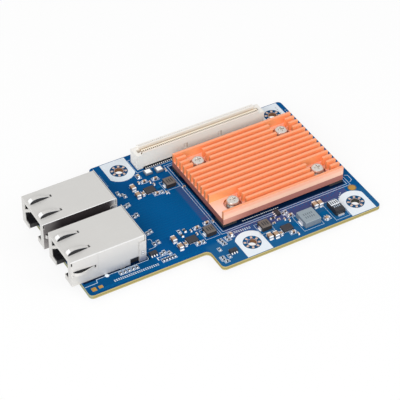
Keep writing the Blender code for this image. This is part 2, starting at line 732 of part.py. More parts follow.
def mezzanine_connector():
    """The moulded housing with its trough, two rows of cells, solder tails and pegs."""
    width, top = CONNECTOR_WIDTH, CONNECTOR_HEIGHT
    profile = (
        (0.0, SEAT_GAP), (width, SEAT_GAP), (width, top - RIM_CHAMFER),
        (width - RIM_CHAMFER, top), (RIM_CHAMFER, top), (0.0, top - RIM_CHAMFER),
    )
    housing = prism(profile, (0.0, CONNECTOR_LENGTH), "X")
    across = (-OVERCUT, width + OVERCUT)
    above = (END_BLOCK_HEIGHT, top + OVERCUT)
    far = CONNECTOR_LENGTH - END_BLOCK_LENGTH
    shoulders = [
        block((-OVERCUT, END_BLOCK_LENGTH), across, above),
        block((far, CONNECTOR_LENGTH + OVERCUT), across, above),
    ]
    trough = block(
        (TROUGH_END_WALL, CONNECTOR_LENGTH - TROUGH_END_WALL),
        (CONNECTOR_WALL, width - CONNECTOR_WALL), (TROUGH_FLOOR, top + OVERCUT),
    )
    relief_z = (SEAT_GAP - OVERCUT, TAIL_RELIEF_HEIGHT)
    reliefs = [
        block((END_BLOCK_LENGTH, far), (-OVERCUT, TAIL_RELIEF_DEPTH), relief_z),
        block((END_BLOCK_LENGTH, far), (width - TAIL_RELIEF_DEPTH, width + OVERCUT), relief_z),
    ]
    pocket_z = (END_BLOCK_HEIGHT - END_POCKET_DEPTH, top + OVERCUT)
    marks = [
        centred_block(END_POCKET_SIDE, END_POCKET_SIDE, pocket_z, (x, CELL_INSET))
        for x in (END_BLOCK_LENGTH, far)
    ]
    for x in (EJECTOR_MARK_INSETS[0], CONNECTOR_LENGTH - EJECTOR_MARK_INSETS[1]):
        mark = (x - EJECTOR_MARK_WIDTH / 2, x + EJECTOR_MARK_WIDTH / 2)
        marks.append(block(mark, (-OVERCUT, EJECTOR_MARK_DEPTH), EJECTOR_MARK_SPAN))
    cells, tails = [], []
    rows = ((CELL_INSET, -TAIL_REACH, 1), (width - CELL_INSET, width + TAIL_REACH, -1))
    for cell_y, tip_y, inwards in rows:
        root_y = tip_y + inwards * (TAIL_REACH + TAIL_RELIEF_DEPTH + TAIL_THICKNESS)
        tail = (
            (tip_y, SEAT_GAP), (root_y, SEAT_GAP + TAIL_THICKNESS),
            (root_y, SEAT_GAP + 2 * TAIL_THICKNESS), (tip_y, SEAT_GAP + TAIL_THICKNESS),
        )
        for index in range(CELLS_PER_ROW):
            x = cell_x(index)
            z = (top - CELL_DEPTH, top + OVERCUT)
            cells.append(centred_block(CELL_LENGTH, CELL_WIDTH, z, (x, cell_y)))
            tails.append(prism(tail, (x - TAIL_WIDTH / 2, x + TAIL_WIDTH / 2), "X"))
    z = (-BOARD_THICKNESS / 2, TROUGH_FLOOR / 2)
    pegs = [
        cylinder(CONNECTOR_PEG_DIAMETER, z, place, SMALL_SIDES)
        for place in connector_peg_places()
    ]
    for tools in (shoulders, [trough], reliefs, marks, cells):
        housing = cut(housing, tools)
    return fused(housing, tails + pegs)


# Heatsink: measured from its middle

def heatsink():
    """A plate of straight fins, with a milled pocket and a stepped bore at each screw."""
    half_length, half_width = HEATSINK_LENGTH / 2, HEATSINK_WIDTH / 2
    profile = [(half_width, BASE_BOTTOM), (-half_width, BASE_BOTTOM)]
    for index in range(FIN_COUNT):
        left = -half_width + index * FIN_PITCH
        right = left + FIN_THICKNESS
        profile += [(left, FIN_TOP), (right, FIN_TOP), (right, BASE_TOP)]
        if index < FIN_COUNT - 1:
            profile.append((left + FIN_PITCH, BASE_TOP))
    profile.pop()
    body = prism(profile, (-half_length, half_length), "X")
    pockets, counterbores, holes = [], [], []
    for x, y in screw_places():
        centre = (x - HEATSINK_X, y - HEATSINK_Y)
        low_x = centre[0] - POCKET_LENGTH / 2
        if centre[0] < 0 and centre[1] < 0:
            low_x = -half_length - OVERCUT
        pockets.append(block(
            (low_x, centre[0] + POCKET_LENGTH / 2),
            (centre[1] - POCKET_WIDTH / 2, centre[1] + POCKET_WIDTH / 2),
            (BASE_TOP - POCKET_STEP, FIN_TOP + OVERCUT),
        ))
        counterbores.append(cylinder(COUNTERBORE_DIAMETER, (SPRING_SEAT, FIN_TOP), centre))
        holes.append(cylinder(SCREW_HOLE_DIAMETER, (BASE_BOTTOM - OVERCUT, BASE_TOP), centre))
    return cut(cut(cut(body, pockets), counterbores), holes)


def spring_screw():
    """A pan head screw with a cross recess; its shank passes through to the nut below."""
    low = UNDERSIDE + SEAT_GAP
    shank, head = SCREW_DIAMETER / 2, SCREW_HEAD_DIAMETER / 2
    top = HEAD_BOTTOM + SCREW_HEAD_HEIGHT
    profile = (
        (0.0, low), (shank, low), (shank, HEAD_BOTTOM), (head, HEAD_BOTTOM),
        (head, HEAD_BOTTOM + 0.5 * SCREW_HEAD_HEIGHT), (0.93 * head, top - 0.2 * SCREW_HEAD_HEIGHT),
        (0.75 * head, top), (0.0, top),
    )
    z = (top - CROSS_DEPTH, top + OVERCUT)
    long, wide = CROSS_LENGTH / 2, CROSS_WIDTH / 2
    cross = prism((
        (long, -wide), (long, wide), (wide, wide), (wide, long), (-wide, long), (-wide, wide),
        (-long, wide), (-long, -wide), (-wide, -wide), (-wide, -long), (wide, -long), (wide, -wide),
    ), z)
    return cut(lathe(profile), [cross])


def screw_spring():
    """A round wire wound into a helix between the counterbore and the screw head."""
    count = round(SPRING_TURNS * COIL_STEPS)
    radius = (SPRING_DIAMETER - SPRING_WIRE) / 2
    climb = SPRING_LENGTH - SPRING_WIRE
    shape = bmesh.new()
    rings = []
    for i in range(count + 1):
        angle = 2 * pi * i / COIL_STEPS
        out = Vector((cos(angle), sin(angle), 0.0))
        speed = radius * 2 * pi * SPRING_TURNS
        along = Vector((-sin(angle) * speed, cos(angle) * speed, climb)).normalized()
        up = out.cross(along)
        middle = out * radius
        middle.z = SPRING_SEAT + PAD_GAP + SPRING_WIRE / 2 + climb * i / count
        ring = []
        for k in range(WIRE_SIDES):
            turn = 2 * pi * k / WIRE_SIDES
            place = middle + (out * cos(turn) + up * sin(turn)) * SPRING_WIRE / 2
            ring.append(shape.verts.new(place))
        rings.append(ring)
    for ring, following in zip(rings, rings[1:]):
        for k in range(WIRE_SIDES):
            shape.faces.new((ring[k - 1], ring[k], following[k], following[k - 1]))
    shape.faces.new(rings[0])
    shape.faces.new(rings[-1])
    bmesh.ops.recalc_face_normals(shape, faces=shape.faces)
    return shape


def screw_nut():
    """A hexagon nut against the board's underside."""
    radius = NUT_ACROSS_FLATS / sqrt(3)
    z = (UNDERSIDE, -BOARD_THICKNESS - SEAT_GAP)
    bore = cylinder(SCREW_DIAMETER + 2 * THREAD_GAP, (z[0] - OVERCUT, z[1] + OVERCUT))
    return cut(prism(circle(radius, 6), z), [bore])


# Board components: measured from the middle of each one's footprint

def plain_body(length, width, height):
    """A rectangular component body just clear of the board."""
    return centred_block(length, width, (SEAT_GAP, SEAT_GAP + height))


def tapered_body(length, width, height):
    """A moulded body whose sides lean in above and below its parting line."""
    taper = 0.06 * height
    levels = ((0.0, taper), (0.45, 0.0), (1.0, 1.5 * taper))
    shape = bmesh.new()
    rings = []
    for share, inset in levels:
        x, y = length / 2 - inset, width / 2 - inset
        z = SEAT_GAP + share * height
        rings.append([shape.verts.new((a * x, b * y, z)) for a, b in ((-1, -1), (1, -1), (1, 1), (-1, 1))])
    for ring, following in zip(rings, rings[1:]):
        for k in range(4):
            shape.faces.new((ring[k - 1], ring[k], following[k], following[k - 1]))
    shape.faces.new(rings[0])
    shape.faces.new(rings[-1])
    bmesh.ops.recalc_face_normals(shape, faces=shape.faces)
    return shape


def small_ic():
    """A tapered body with three bent legs on one side and three on the other."""
    legs = []
    for side in (-1, 1):
        root = side * (SMALL_IC_WIDTH / 2 - 2 * LEG_THICKNESS)
        tip = side * (SMALL_IC_WIDTH / 2 + LEG_REACH)
        leg = (
            (tip, SEAT_GAP), (tip, SEAT_GAP + LEG_THICKNESS),
            (root, SMALL_IC_HEIGHT / 2 + LEG_THICKNESS), (root, SMALL_IC_HEIGHT / 2 - LEG_THICKNESS),
        )
        for index in (-1, 0, 1):
            x = index * LEG_PITCH
            legs.append(prism(leg, (x - LEG_WIDTH / 2, x + LEG_WIDTH / 2), "X"))
    return fused(tapered_body(SMALL_IC_LENGTH, SMALL_IC_WIDTH, SMALL_IC_HEIGHT), legs)


def molded_capacitor():
    """A tapered body with a flat metal tab bent under each end."""
    tabs = []
    for side in (-1, 1):
        near = side * (MOLDED_WIDTH / 2 - 3 * LEG_THICKNESS)
        far = side * (MOLDED_WIDTH / 2 + MOLDED_TAB_REACH)
        span = (min(near, far), max(near, far))
        reach = MOLDED_TAB_WIDTH / 2
        tabs.append(block((-reach, reach), span, (SEAT_GAP / 2, SEAT_GAP / 2 + 2 * LEG_THICKNESS)))
    return fused(tapered_body(MOLDED_LENGTH, MOLDED_WIDTH, MOLDED_HEIGHT), tabs)


# Putting the card together

def add_ports(carrier, looks):
    """Both network ports, each of a shield, a rear cover, a moulded body and contacts."""
    for number, (x, y) in enumerate(port_places(), 1):
        place = (x, y, 0.0)
        for name, make in (("port_shell", port_shell), ("port_rear_cover", port_rear_cover)):
            part = place_part(f"{name}_{number}", make(), looks["shield"], place, carrier)
            wall = part.modifiers.new("sheet", "SOLIDIFY")
            wall.thickness = SHEET_THICKNESS
            wall.offset = -1.0
            wall.use_even_offset = True
            wall.use_quality_normals = True
        place_part(f"port_insert_{number}", port_insert(), looks["black"], place, carrier)
        place_part(f"port_contacts_{number}", port_contacts(), looks["gold"], place, carrier)


def add_heatsink(carrier, looks):
    """The heatsink, the chip and pads beneath it, and its screws, springs and nuts."""
    middle = (HEATSINK_X, HEATSINK_Y, 0.0)
    place_part("heatsink", heatsink(), looks["copper"], middle, carrier)
    chip_top = SEAT_GAP + CHIP_THICKNESS
    chip = centred_block(CHIP_SIDE, CHIP_SIDE, (SEAT_GAP, chip_top))
    place_part("controller_chip", chip, looks["black"], middle, carrier)
    pad = centred_block(CHIP_SIDE, CHIP_SIDE, (chip_top + PAD_GAP, BASE_BOTTOM - PAD_GAP))
    place_part("thermal_pad", pad, looks["pad"], middle, carrier)
    reach_x = (HEATSINK_LENGTH - FOAM_SIDE) / 2
    reach_y = (HEATSINK_WIDTH - FOAM_SIDE) / 2
    signs = ((-1, -1), (1, -1), (-1, 1), (1, 1))
    for number, ((x, y), (a, b)) in enumerate(zip(screw_places(), signs), 1):
        foam = centred_block(FOAM_SIDE, FOAM_SIDE, (SEAT_GAP, BASE_BOTTOM - PAD_GAP))
        corner = (HEATSINK_X + a * reach_x, HEATSINK_Y + b * reach_y, 0.0)
        place_part(f"foam_pad_{number}", foam, looks["foam"], corner, carrier)
        place = (x, y, 0.0)
        place_part(f"spring_screw_{number}", spring_screw(), looks["steel"], place, carrier)
        place_part(f"screw_spring_{number}", screw_spring(), looks["steel"], place, carrier)
        place_part(f"screw_nut_{number}", screw_nut(), looks["steel"], place, carrier)


def add_components(carrier, looks):
    """The larger components that stand around the heatsink and the ports."""
    groups = (
        ("power_inductor", INDUCTOR_PLACES, looks["ferrite"],
         (INDUCTOR_LENGTH, INDUCTOR_WIDTH, INDUCTOR_HEIGHT)),
        ("filter_inductor", (FILTER_INDUCTOR_PLACE,), looks["ferrite"],
         (FILTER_INDUCTOR_LENGTH, FILTER_INDUCTOR_WIDTH, FILTER_INDUCTOR_HEIGHT)),
        ("regulator_ic", REGULATOR_PLACES, looks["black"],
         (REGULATOR_LENGTH, REGULATOR_WIDTH, REGULATOR_HEIGHT)),
        ("crystal", CRYSTAL_PLACES, looks["white"],
         (CRYSTAL_LENGTH, CRYSTAL_WIDTH, CRYSTAL_HEIGHT)),
        ("ceramic_capacitor", CAPACITOR_PLACES, looks["brown"],
         (CAPACITOR_WIDTH, CAPACITOR_LENGTH, CAPACITOR_HEIGHT)),
        ("bypass_capacitor", BYPASS_PLACES, looks["brown"],
         (BYPASS_WIDTH, BYPASS_LENGTH, BYPASS_HEIGHT)),
    )
    for name, places, material, size in groups:
        for number, (x, y) in enumerate(places, 1):
            numbered = name if len(places) == 1 else f"{name}_{number}"
            soften(place_part(numbered, plain_body(*size), material, (x, y, 0.0), carrier))
    for number, (x, y, turn) in enumerate(SMALL_IC_PLACES, 1):
        place_part(f"small_ic_{number}", small_ic(), looks["black"], (x, y, 0.0), carrier, turn)
    x, y = MOLDED_PLACE
    place_part("molded_capacitor", molded_capacitor(), looks["black"], (x, y, 0.0), carrier)


def build():
    """The whole card, with the world's origin under the middle of its outer box."""
    clear_scene()
    looks = {
        "board": finish("board blue", (0.01, 0.09, 0.27), 0.35),
        "shield": finish("shield steel", (0.75, 0.74, 0.72), 0.3, 1.0),
        "black": finish("black moulding", (0.02, 0.02, 0.022), 0.5),
        "gold": finish("gold plating", (0.9, 0.65, 0.25), 0.25, 1.0),
        "ivory": finish("ivory moulding", (0.78, 0.72, 0.6), 0.5),
        "copper": finish("copper", (0.95, 0.4, 0.22), 0.35, 1.0),
        "pad": finish("thermal pad", (0.5, 0.5, 0.52), 0.8),
        "foam": finish("black foam", (0.03, 0.03, 0.03), 0.95),
        "steel": finish("screw steel", (0.65, 0.63, 0.6), 0.35, 1.0),
        "ferrite": finish("pressed ferrite", (0.22, 0.21, 0.2), 0.6),
        "white": finish("white ceramic", (0.8, 0.8, 0.78), 0.5),
        "brown": finish("capacitor brown", (0.35, 0.25, 0.16), 0.5),
    }
    carrier = bpy.data.objects.new("board_corner", None)
    middle_x = (BOARD_LENGTH - PORT_OVERHANG) / 2
    carrier.location = (-middle_x, -BOARD_WIDTH / 2, -UNDERSIDE)
    bpy.context.scene.collection.objects.link(carrier)
    board = circuit_board()
    place_part("circuit_board", board, looks["board"], (0.0, 0.0, 0.0), carrier)
    add_ports(carrier, looks)
    connector = (CONNECTOR_X, CONNECTOR_Y, 0.0)
    place_part("mezzanine_connector", mezzanine_connector(), looks["ivory"], connector, carrier)
    add_heatsink(carrier, looks)
    add_components(carrier, looks)


build()
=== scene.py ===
# %% [markdown]
# # A mezzanine network card, dressed for its photograph
# The card's solids come from CAD and are loaded as a fixed frame. This lesson adds what CAD leaves
# out: the finish of every surface, the printed lines, the copper tracks, and the many small parts
# soldered between the large ones. The frame is loaded first, because everything is placed by it.

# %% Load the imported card
from functools import reduce
from math import cos, pi, radians, sin

import bpy
import numpy as np
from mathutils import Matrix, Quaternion, Vector


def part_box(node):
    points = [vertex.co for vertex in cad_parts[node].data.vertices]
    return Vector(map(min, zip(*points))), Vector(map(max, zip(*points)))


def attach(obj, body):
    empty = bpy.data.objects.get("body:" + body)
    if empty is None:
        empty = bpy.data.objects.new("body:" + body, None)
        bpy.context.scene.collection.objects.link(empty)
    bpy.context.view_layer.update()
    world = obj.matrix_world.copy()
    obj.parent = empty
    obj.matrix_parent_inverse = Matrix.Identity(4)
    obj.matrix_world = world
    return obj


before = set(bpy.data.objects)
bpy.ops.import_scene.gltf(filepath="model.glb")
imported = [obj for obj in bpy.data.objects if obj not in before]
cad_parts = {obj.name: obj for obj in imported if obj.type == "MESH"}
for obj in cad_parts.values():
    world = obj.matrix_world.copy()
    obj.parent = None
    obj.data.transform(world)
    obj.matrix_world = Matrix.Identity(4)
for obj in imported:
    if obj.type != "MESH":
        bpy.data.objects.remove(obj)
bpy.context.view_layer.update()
print("CAD nodes:", len(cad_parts))

# %% [markdown]
# A board designer works on a drawing in millimetres, measured from one corner of the board. The
# narrow left end's front corner is used here, at the level of the board's top face, and one
# constant turns such a place into the frame's metres.

# %% The card's own drawing
MM = 0.001
LEFT_END_STEP = 9.8
board_low, board_high = (np.array(corner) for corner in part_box("circuit_board"))
ORIGIN = np.array([board_low[0], board_low[1] + LEFT_END_STEP * MM, board_high[2]])
board_size = (board_high - board_low) / MM
BOARD_THICKNESS = board_size[2]
BOARD_BACK = board_size[1] - LEFT_END_STEP


def on_card(node):
    """A CAD node's lowest and highest corners on the drawing, in millimetres."""
    return tuple((np.array(corner) - ORIGIN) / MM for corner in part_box(node))


print("board on the drawing:", *(corner.round(2) for corner in on_card("circuit_board")))

# %% [markdown]
# The camera stands where the photographer stood: to the front left, well above the card, with a
# long lens, so that parallel edges stay almost parallel. Its place is given as a direction and
# distance from a point near the board's middle, which is easier to adjust than three coordinates.

# %% Camera
CAMERA_TARGET = Vector((2.311, -0.141, 3.1)) * MM
CAMERA_AZIMUTH = radians(-30.275)
CAMERA_ELEVATION = radians(41.767)
CAMERA_ROLL = radians(0.6045)
CAMERA_DISTANCE = 575.07 * MM
CAMERA_LENS = 146.115

camera = bpy.data.objects.new("camera", bpy.data.cameras.new("camera"))
bpy.context.scene.collection.objects.link(camera)
toward_camera = Vector((
    sin(CAMERA_AZIMUTH) * cos(CAMERA_ELEVATION),
    -cos(CAMERA_AZIMUTH) * cos(CAMERA_ELEVATION),
    sin(CAMERA_ELEVATION),
))
camera.location = CAMERA_TARGET + toward_camera * CAMERA_DISTANCE
camera.rotation_mode = "QUATERNION"
level = (-toward_camera).to_track_quat("-Z", "Y")
camera.rotation_quaternion = level @ Quaternion((0, 0, 1), CAMERA_ROLL)
camera.data.lens = CAMERA_LENS
camera.data.clip_start, camera.data.clip_end = 0.01, 50
bpy.context.scene.camera = camera
bpy.context.scene.view_settings.view_transform = "Standard"
print("camera at", [round(c / MM, 1) for c in camera.location], "mm")

# %% [markdown]
# Shader maths reads badly as a chain of boxes, so one small class wraps a socket: plus, minus
# and times on it add Math nodes. A second class holds one material and has a single method
# for adding any node. It turns the object's own coordinates into the drawing's millimetres, so a
# pattern is placed with the same numbers as a part.

# %% Sockets as numbers
class Value:
    """One output socket. An operator on it adds a Math node and gives that node's output."""

    def __init__(self, paint, socket):
        self.paint, self.socket = paint, socket

    def math(self, operation, *others):
        return self.paint.node("ShaderNodeMath", {"operation": operation}, [self, *others])

    def __add__(self, other):
        return self.math("ADD", other)

    def __sub__(self, other):
        return self.math("SUBTRACT", other)

    def __rsub__(self, other):
        return self.paint.node("ShaderNodeMath", {"operation": "SUBTRACT"}, [other, self])

    def __mul__(self, other):
        return self.math("MULTIPLY", other)

    __radd__ = __add__
    __rmul__ = __mul__

    def __abs__(self):
        return self.math("ABSOLUTE")

    def above(self, edge, blur=0.05):
        """0 below the edge and 1 above it, with a smooth step as wide as twice the blur."""
        ends = {"Value": self, "From Min": edge - blur, "From Max": edge + blur}
        return self.paint.node("ShaderNodeMapRange", {"interpolation_type": "SMOOTHSTEP"}, ends)

    def below(self, edge, blur=0.05):
        """1 below the edge and 0 above it."""
        return 1 - self.above(edge, blur)


def combined(operation, values):
    """Several values joined by one Math operation, such as the largest of them at each point."""
    return reduce(lambda one, other: one.math(operation, other), values)


def ink(red, green, blue):
    """A colour as a screen shows it, 0 to 255, as the linear values that a shader uses."""
    screen = np.array([red, green, blue]) / 255
    linear = np.where(screen <= 0.04045, screen / 12.92, ((screen + 0.055) / 1.055) ** 2.4)
    return (*linear.tolist(), 1.0)


# %% One material
class Paint:
    """A material being mixed. x, y and z are the place on the card's drawing, in millimetres."""

    def __init__(self, name):
        self.material = bpy.data.materials.new(name)
        self.material.use_nodes = True
        self.tree = self.material.node_tree
        self.tree.nodes.clear()
        metres = self.node("ShaderNodeTexCoord", output="Object")
        self.place = self.node("ShaderNodeMapping", inputs={
            "Vector": metres, "Location": (-ORIGIN / MM).tolist(), "Scale": (1 / MM,) * 3,
        })
        self.x, self.y, self.z = self.parts(self.place)

    def node(self, kind, settings=None, inputs=(), output=0):
        """Adds a node: its settings first, then its sockets by name or number, as values or links."""
        new = self.tree.nodes.new(kind)
        for name, setting in (settings or {}).items():
            setattr(new, name, setting)
        pairs = inputs.items() if isinstance(inputs, dict) else enumerate(inputs)
        for key, given in pairs:
            if isinstance(given, Value):
                self.tree.links.new(given.socket, new.inputs[key])
            else:
                new.inputs[key].default_value = given
        return Value(self, new.outputs[output])

    def parts(self, vector):
        """The three numbers of a vector."""
        split = self.node("ShaderNodeSeparateXYZ", inputs=[vector]).socket.node
        return [Value(self, socket) for socket in split.outputs]

    def blend(self, first, second, share):
        """One colour changing to another as the share goes from 0 to 1."""
        mixed = {0: share, 6: first, 7: second}
        return self.node("ShaderNodeMix", {"data_type": "RGBA"}, mixed, output=2)

    def noise(self, size, detail=2.0, stretch=(1, 1, 1)):
        """Cloudy noise from about 0 to 1, whose blotches are some millimetres wide, times stretch."""
        scale = [1 / (size * s) for s in stretch]
        placed = self.node("ShaderNodeMapping", inputs={"Vector": self.place, "Scale": scale})
        return self.node("ShaderNodeTexNoise", inputs={"Vector": placed, "Scale": 1.0, "Detail": detail})

    def distance(self, across, along):
        """How far away a point is, from its two offsets."""
        flat = self.node("ShaderNodeCombineXYZ", inputs=[across, along, 0.0])
        return self.node("ShaderNodeVectorMath", {"operation": "LENGTH"}, [flat], output="Value")

    def inside(self, x_range, y_range, blur=0.05):
        """1 inside a rectangle of the drawing and 0 outside it."""
        return (self.x.above(x_range[0], blur) * self.x.below(x_range[1], blur)
                * self.y.above(y_range[0], blur) * self.y.below(y_range[1], blur))

    def regions(self, *rectangles):
        """1 inside any of several rectangles, each given with its own blur."""
        return combined("MAXIMUM", [self.inside(*rectangle) for rectangle in rectangles])

    def facing(self):
        """The three numbers of the surface's direction."""
        return self.parts(self.node("ShaderNodeNewGeometry", output="Normal"))

    def bump(self, height, depth):
        """The surface direction for a height of 0 to 1, as deep as some millimetres."""
        relief = {"Height": height, "Strength": 1.0, "Distance": depth * MM}
        return self.node("ShaderNodeBump", inputs=relief)

    def finished(self, **sockets):
        """Ends the material with one Principled shader, whose sockets are given by name."""
        named = {name.replace("_", " "): given for name, given in sockets.items()}
        shader = self.node("ShaderNodeBsdfPrincipled", inputs=named, output="BSDF")
        end = self.tree.nodes.new("ShaderNodeOutputMaterial")
        self.tree.links.new(shader.socket, end.inputs["Surface"])
        return self.material


print("white as a shader sees it:", ink(255, 255, 255)[:3])

# %% [markdown]
# The studio is a pale floor and sky with two wide soft lamps, a strong one at the front left and a
# weaker one at the front right. The sky is plain white where the camera or a reflection sees it,
# and dimmer as a source of light, so that a surface renders about as light as its colour is written.

# %% Floor, sky and lamps
SKY_LIGHT = 0.5
SKY_SEEN = 1.0
FLOOR_SIDE = 6.0
FLOOR_SHADE = 0.93
FLOOR_GLOW = 0.85
LAMPS = (
    # name, place in metres, side in metres, power in watts
    ("front_lamp", (-0.75, -0.75, 0.75), 0.9, 13.5),
    ("right_lamp", (0.7, -0.85, 0.7), 0.8, 4.0),
)


def seen_directly(nodes, links):
    """A socket that is 1 for rays from the camera, a reflection or clear glass."""
    path = nodes.new("ShaderNodeLightPath")
    total = path.outputs["Is Camera Ray"]
    for name in ("Is Glossy Ray", "Is Transmission Ray"):
        larger = nodes.new("ShaderNodeMath")
        larger.operation = "MAXIMUM"
        links.new(total, larger.inputs[0])
        links.new(path.outputs[name], larger.inputs[1])
        total = larger.outputs[0]
    return total


world = bpy.data.worlds.new("sky")
world.use_nodes = True
bpy.context.scene.world = world
sky_nodes, sky_links = world.node_tree.nodes, world.node_tree.links
brightness = sky_nodes.new("ShaderNodeMapRange")
sky_links.new(seen_directly(sky_nodes, sky_links), brightness.inputs["Value"])
brightness.inputs["To Min"].default_value = SKY_LIGHT
brightness.inputs["To Max"].default_value = SKY_SEEN
sky_nodes["Background"].inputs["Color"].default_value = (1, 1, 1, 1)
sky_links.new(brightness.outputs[0], sky_nodes["Background"].inputs["Strength"])

for name, place, side, power in LAMPS:
    lamp = bpy.data.objects.new(name, bpy.data.lights.new(name, "AREA"))
    lamp.data.shape = "SQUARE"
    lamp.data.size = side
    lamp.data.energy = power
    lamp.location = place
    lamp.rotation_mode = "QUATERNION"
    lamp.rotation_quaternion = (-Vector(place)).to_track_quat("-Z", "Y")
    bpy.context.scene.collection.objects.link(lamp)

half = FLOOR_SIDE / 2
floor_mesh = bpy.data.meshes.new("floor")
corners = [(-half, -half, 0), (half, -half, 0), (half, half, 0), (-half, half, 0)]
floor_mesh.from_pydata(corners, [], [(0, 1, 2, 3)])
floor = bpy.data.objects.new("floor", floor_mesh)
bpy.context.scene.collection.objects.link(floor)
floor_paint = bpy.data.materials.new("floor_white")
floor_paint.use_nodes = True
floor_nodes, floor_links = floor_paint.node_tree.nodes, floor_paint.node_tree.links
paper = floor_nodes["Principled BSDF"]
paper.inputs["Base Color"].default_value = (FLOOR_SHADE, FLOOR_SHADE, FLOOR_SHADE, 1)
paper.inputs["Roughness"].default_value = 0.9
glow = floor_nodes.new("ShaderNodeEmission")
seen = floor_nodes.new("ShaderNodeMixShader")
share = floor_nodes.new("ShaderNodeMath")
share.operation = "MULTIPLY"
share.inputs[1].default_value = FLOOR_GLOW
floor_links.new(seen_directly(floor_nodes, floor_links), share.inputs[0])
floor_links.new(share.outputs[0], seen.inputs["Fac"])
floor_links.new(paper.outputs[0], seen.inputs[1])
floor_links.new(glow.outputs[0], seen.inputs[2])
floor_links.new(seen.outputs[0], floor_nodes["Material Output"].inputs["Surface"])
floor_mesh.materials.append(floor_paint)
print("lamps:", [lamp[0] for lamp in LAMPS])

# %% [markdown]
# The board is glass cloth in resin with copper under a blue lacquer. Its faces and its sawn edges
# look quite different, so the surface's direction decides between them. Copper poured round the
# heatsink shows through the lacquer as a redder blue, a strip along the front edge is greyer and one
# in front of the ports darker, and painted shade darkens the lacquer in the narrow spaces under the
# heatsink, the connector and the ports. The screw holes are plated, and the right front one is duller.

# %% Lacquer and the board's edge
SCREW_HOLES = np.array([(60.35, -3.7), (103.1, -3.7), (103.1, 52.1), (37.85, 52.1)])
PLATED_RADIUS = 1.75
LANDING_RADIUS = 3.4
CORE_DEPTH = 0.85
# Rectangles on the drawing, each with the range of x, the range of y and the blur of its border
FRONT_STRIP = ((45.0, 112.0), (-12.0, 2.0), 1.0)
PORT_STRIP = ((-1.0, 27.0), (-1.0, 6.5), 1.0)
COPPER_POURS = (((51.0, 54.6), (14.0, 34.0), 0.6), ((55.0, 103.6), (0.8, 6.4), 0.3))
# Painted shade: the narrow spaces under the heatsink, the connector and the ports
PAINTED_SHADE_SPACES = (
    ((54.6, 105.4), (6.2, 45.2), 0.5), ((46.2, 95.0), (48.0, 55.4), 0.1),
    ((0.5, 26.0), (6.15, 45.0), 0.15),
)


def board_paint():
    paint = Paint("board_lacquer")
    out = paint.facing()
    on_top = out[2].above(0.5)
    cloud = paint.noise(18, detail=1.0)
    speck = paint.noise(0.5, detail=3.0)
    lacquer = paint.blend(ink(0, 72, 128), ink(0, 88, 148), cloud)
    lacquer = paint.blend(lacquer, ink(34, 94, 140), paint.inside(*FRONT_STRIP) * on_top * 0.75)
    lacquer = paint.blend(lacquer, ink(0, 66, 108), paint.inside(*PORT_STRIP) * on_top * 0.6)
    lacquer = paint.blend(lacquer, ink(74, 76, 122), paint.regions(*COPPER_POURS) * on_top * 0.85)
    lacquer = paint.blend(lacquer, ink(10, 98, 156), speck.above(0.6, 0.15) * 0.18)
    # Painted shade: the lacquer's top is darkened almost to black in those narrow spaces
    lacquer = paint.blend(lacquer, ink(3, 14, 40), paint.regions(*PAINTED_SHADE_SPACES) * on_top * 0.92)
    layers = abs(paint.z + CORE_DEPTH).below(0.22, 0.12)
    fibres = paint.noise(0.25, detail=3.0, stretch=(6, 6, 1))
    sawn = paint.blend(ink(168, 154, 100), ink(186, 174, 124), fibres)
    sawn = paint.blend(sawn, ink(112, 100, 52), layers * 0.6)
    left_end = (out[0] * -1).above(0.5, 0.1) * paint.x.below(2.0)
    sawn = paint.blend(sawn, ink(140, 160, 146), left_end * 0.5)
    to_hole = combined("MINIMUM", [
        paint.distance(paint.x - x, paint.y - y) for x, y in SCREW_HOLES.tolist()
    ])
    lacquer = paint.blend(lacquer, ink(22, 66, 100), to_hole.below(LANDING_RADIUS) * 0.7)
    plated = to_hole.below(PLATED_RADIUS, 0.02)
    edge = abs(out[2]).below(0.5, 0.1)
    colour = paint.blend(lacquer, sawn, edge)
    right_front = paint.x.above(90.0) * paint.y.below(1.0)
    barrel = paint.blend(ink(150, 112, 84), ink(84, 86, 80), right_front)
    colour = paint.blend(colour, barrel, plated * edge)
    height = paint.noise(0.35, detail=3.0) * 0.6 + edge * fibres
    return paint.finished(
        Base_Color=colour,
        Roughness=0.36 + speck * 0.1 + edge * 0.4,
        Metallic=plated * edge,
        Specular_IOR_Level=0.03,
        Normal=paint.bump(height, 0.012),
    )


# %% [markdown]
# The metal finishes differ mostly in how they were worked: a screw has faint lines along it, drawn
# wire is even, and solder is bright and slightly lumpy. So one function makes the metals that are
# alike all over, from two tints and from the width and direction of their lines.

# %% Metals
def metal_paint(name, colour, shade, roughness, line, streak, depth=0.004, spots=0.0, metallic=1.0):
    """Metal with streaks: noise a line wide, drawn out by the streak along each axis."""
    paint = Paint(name)
    lines = paint.noise(line, detail=3.0, stretch=streak)
    cloud = paint.noise(9.0, detail=1.0)
    tint = paint.blend(ink(*colour), ink(*shade), lines * 0.5 + cloud * 0.35)
    if spots:
        tint = paint.blend(tint, ink(*shade), paint.noise(0.8).above(0.62, 0.1) * spots)
    return paint.finished(
        Base_Color=tint,
        Roughness=roughness - 0.05 + lines * 0.12,
        Metallic=metallic,
        Normal=paint.bump(lines, depth),
    )


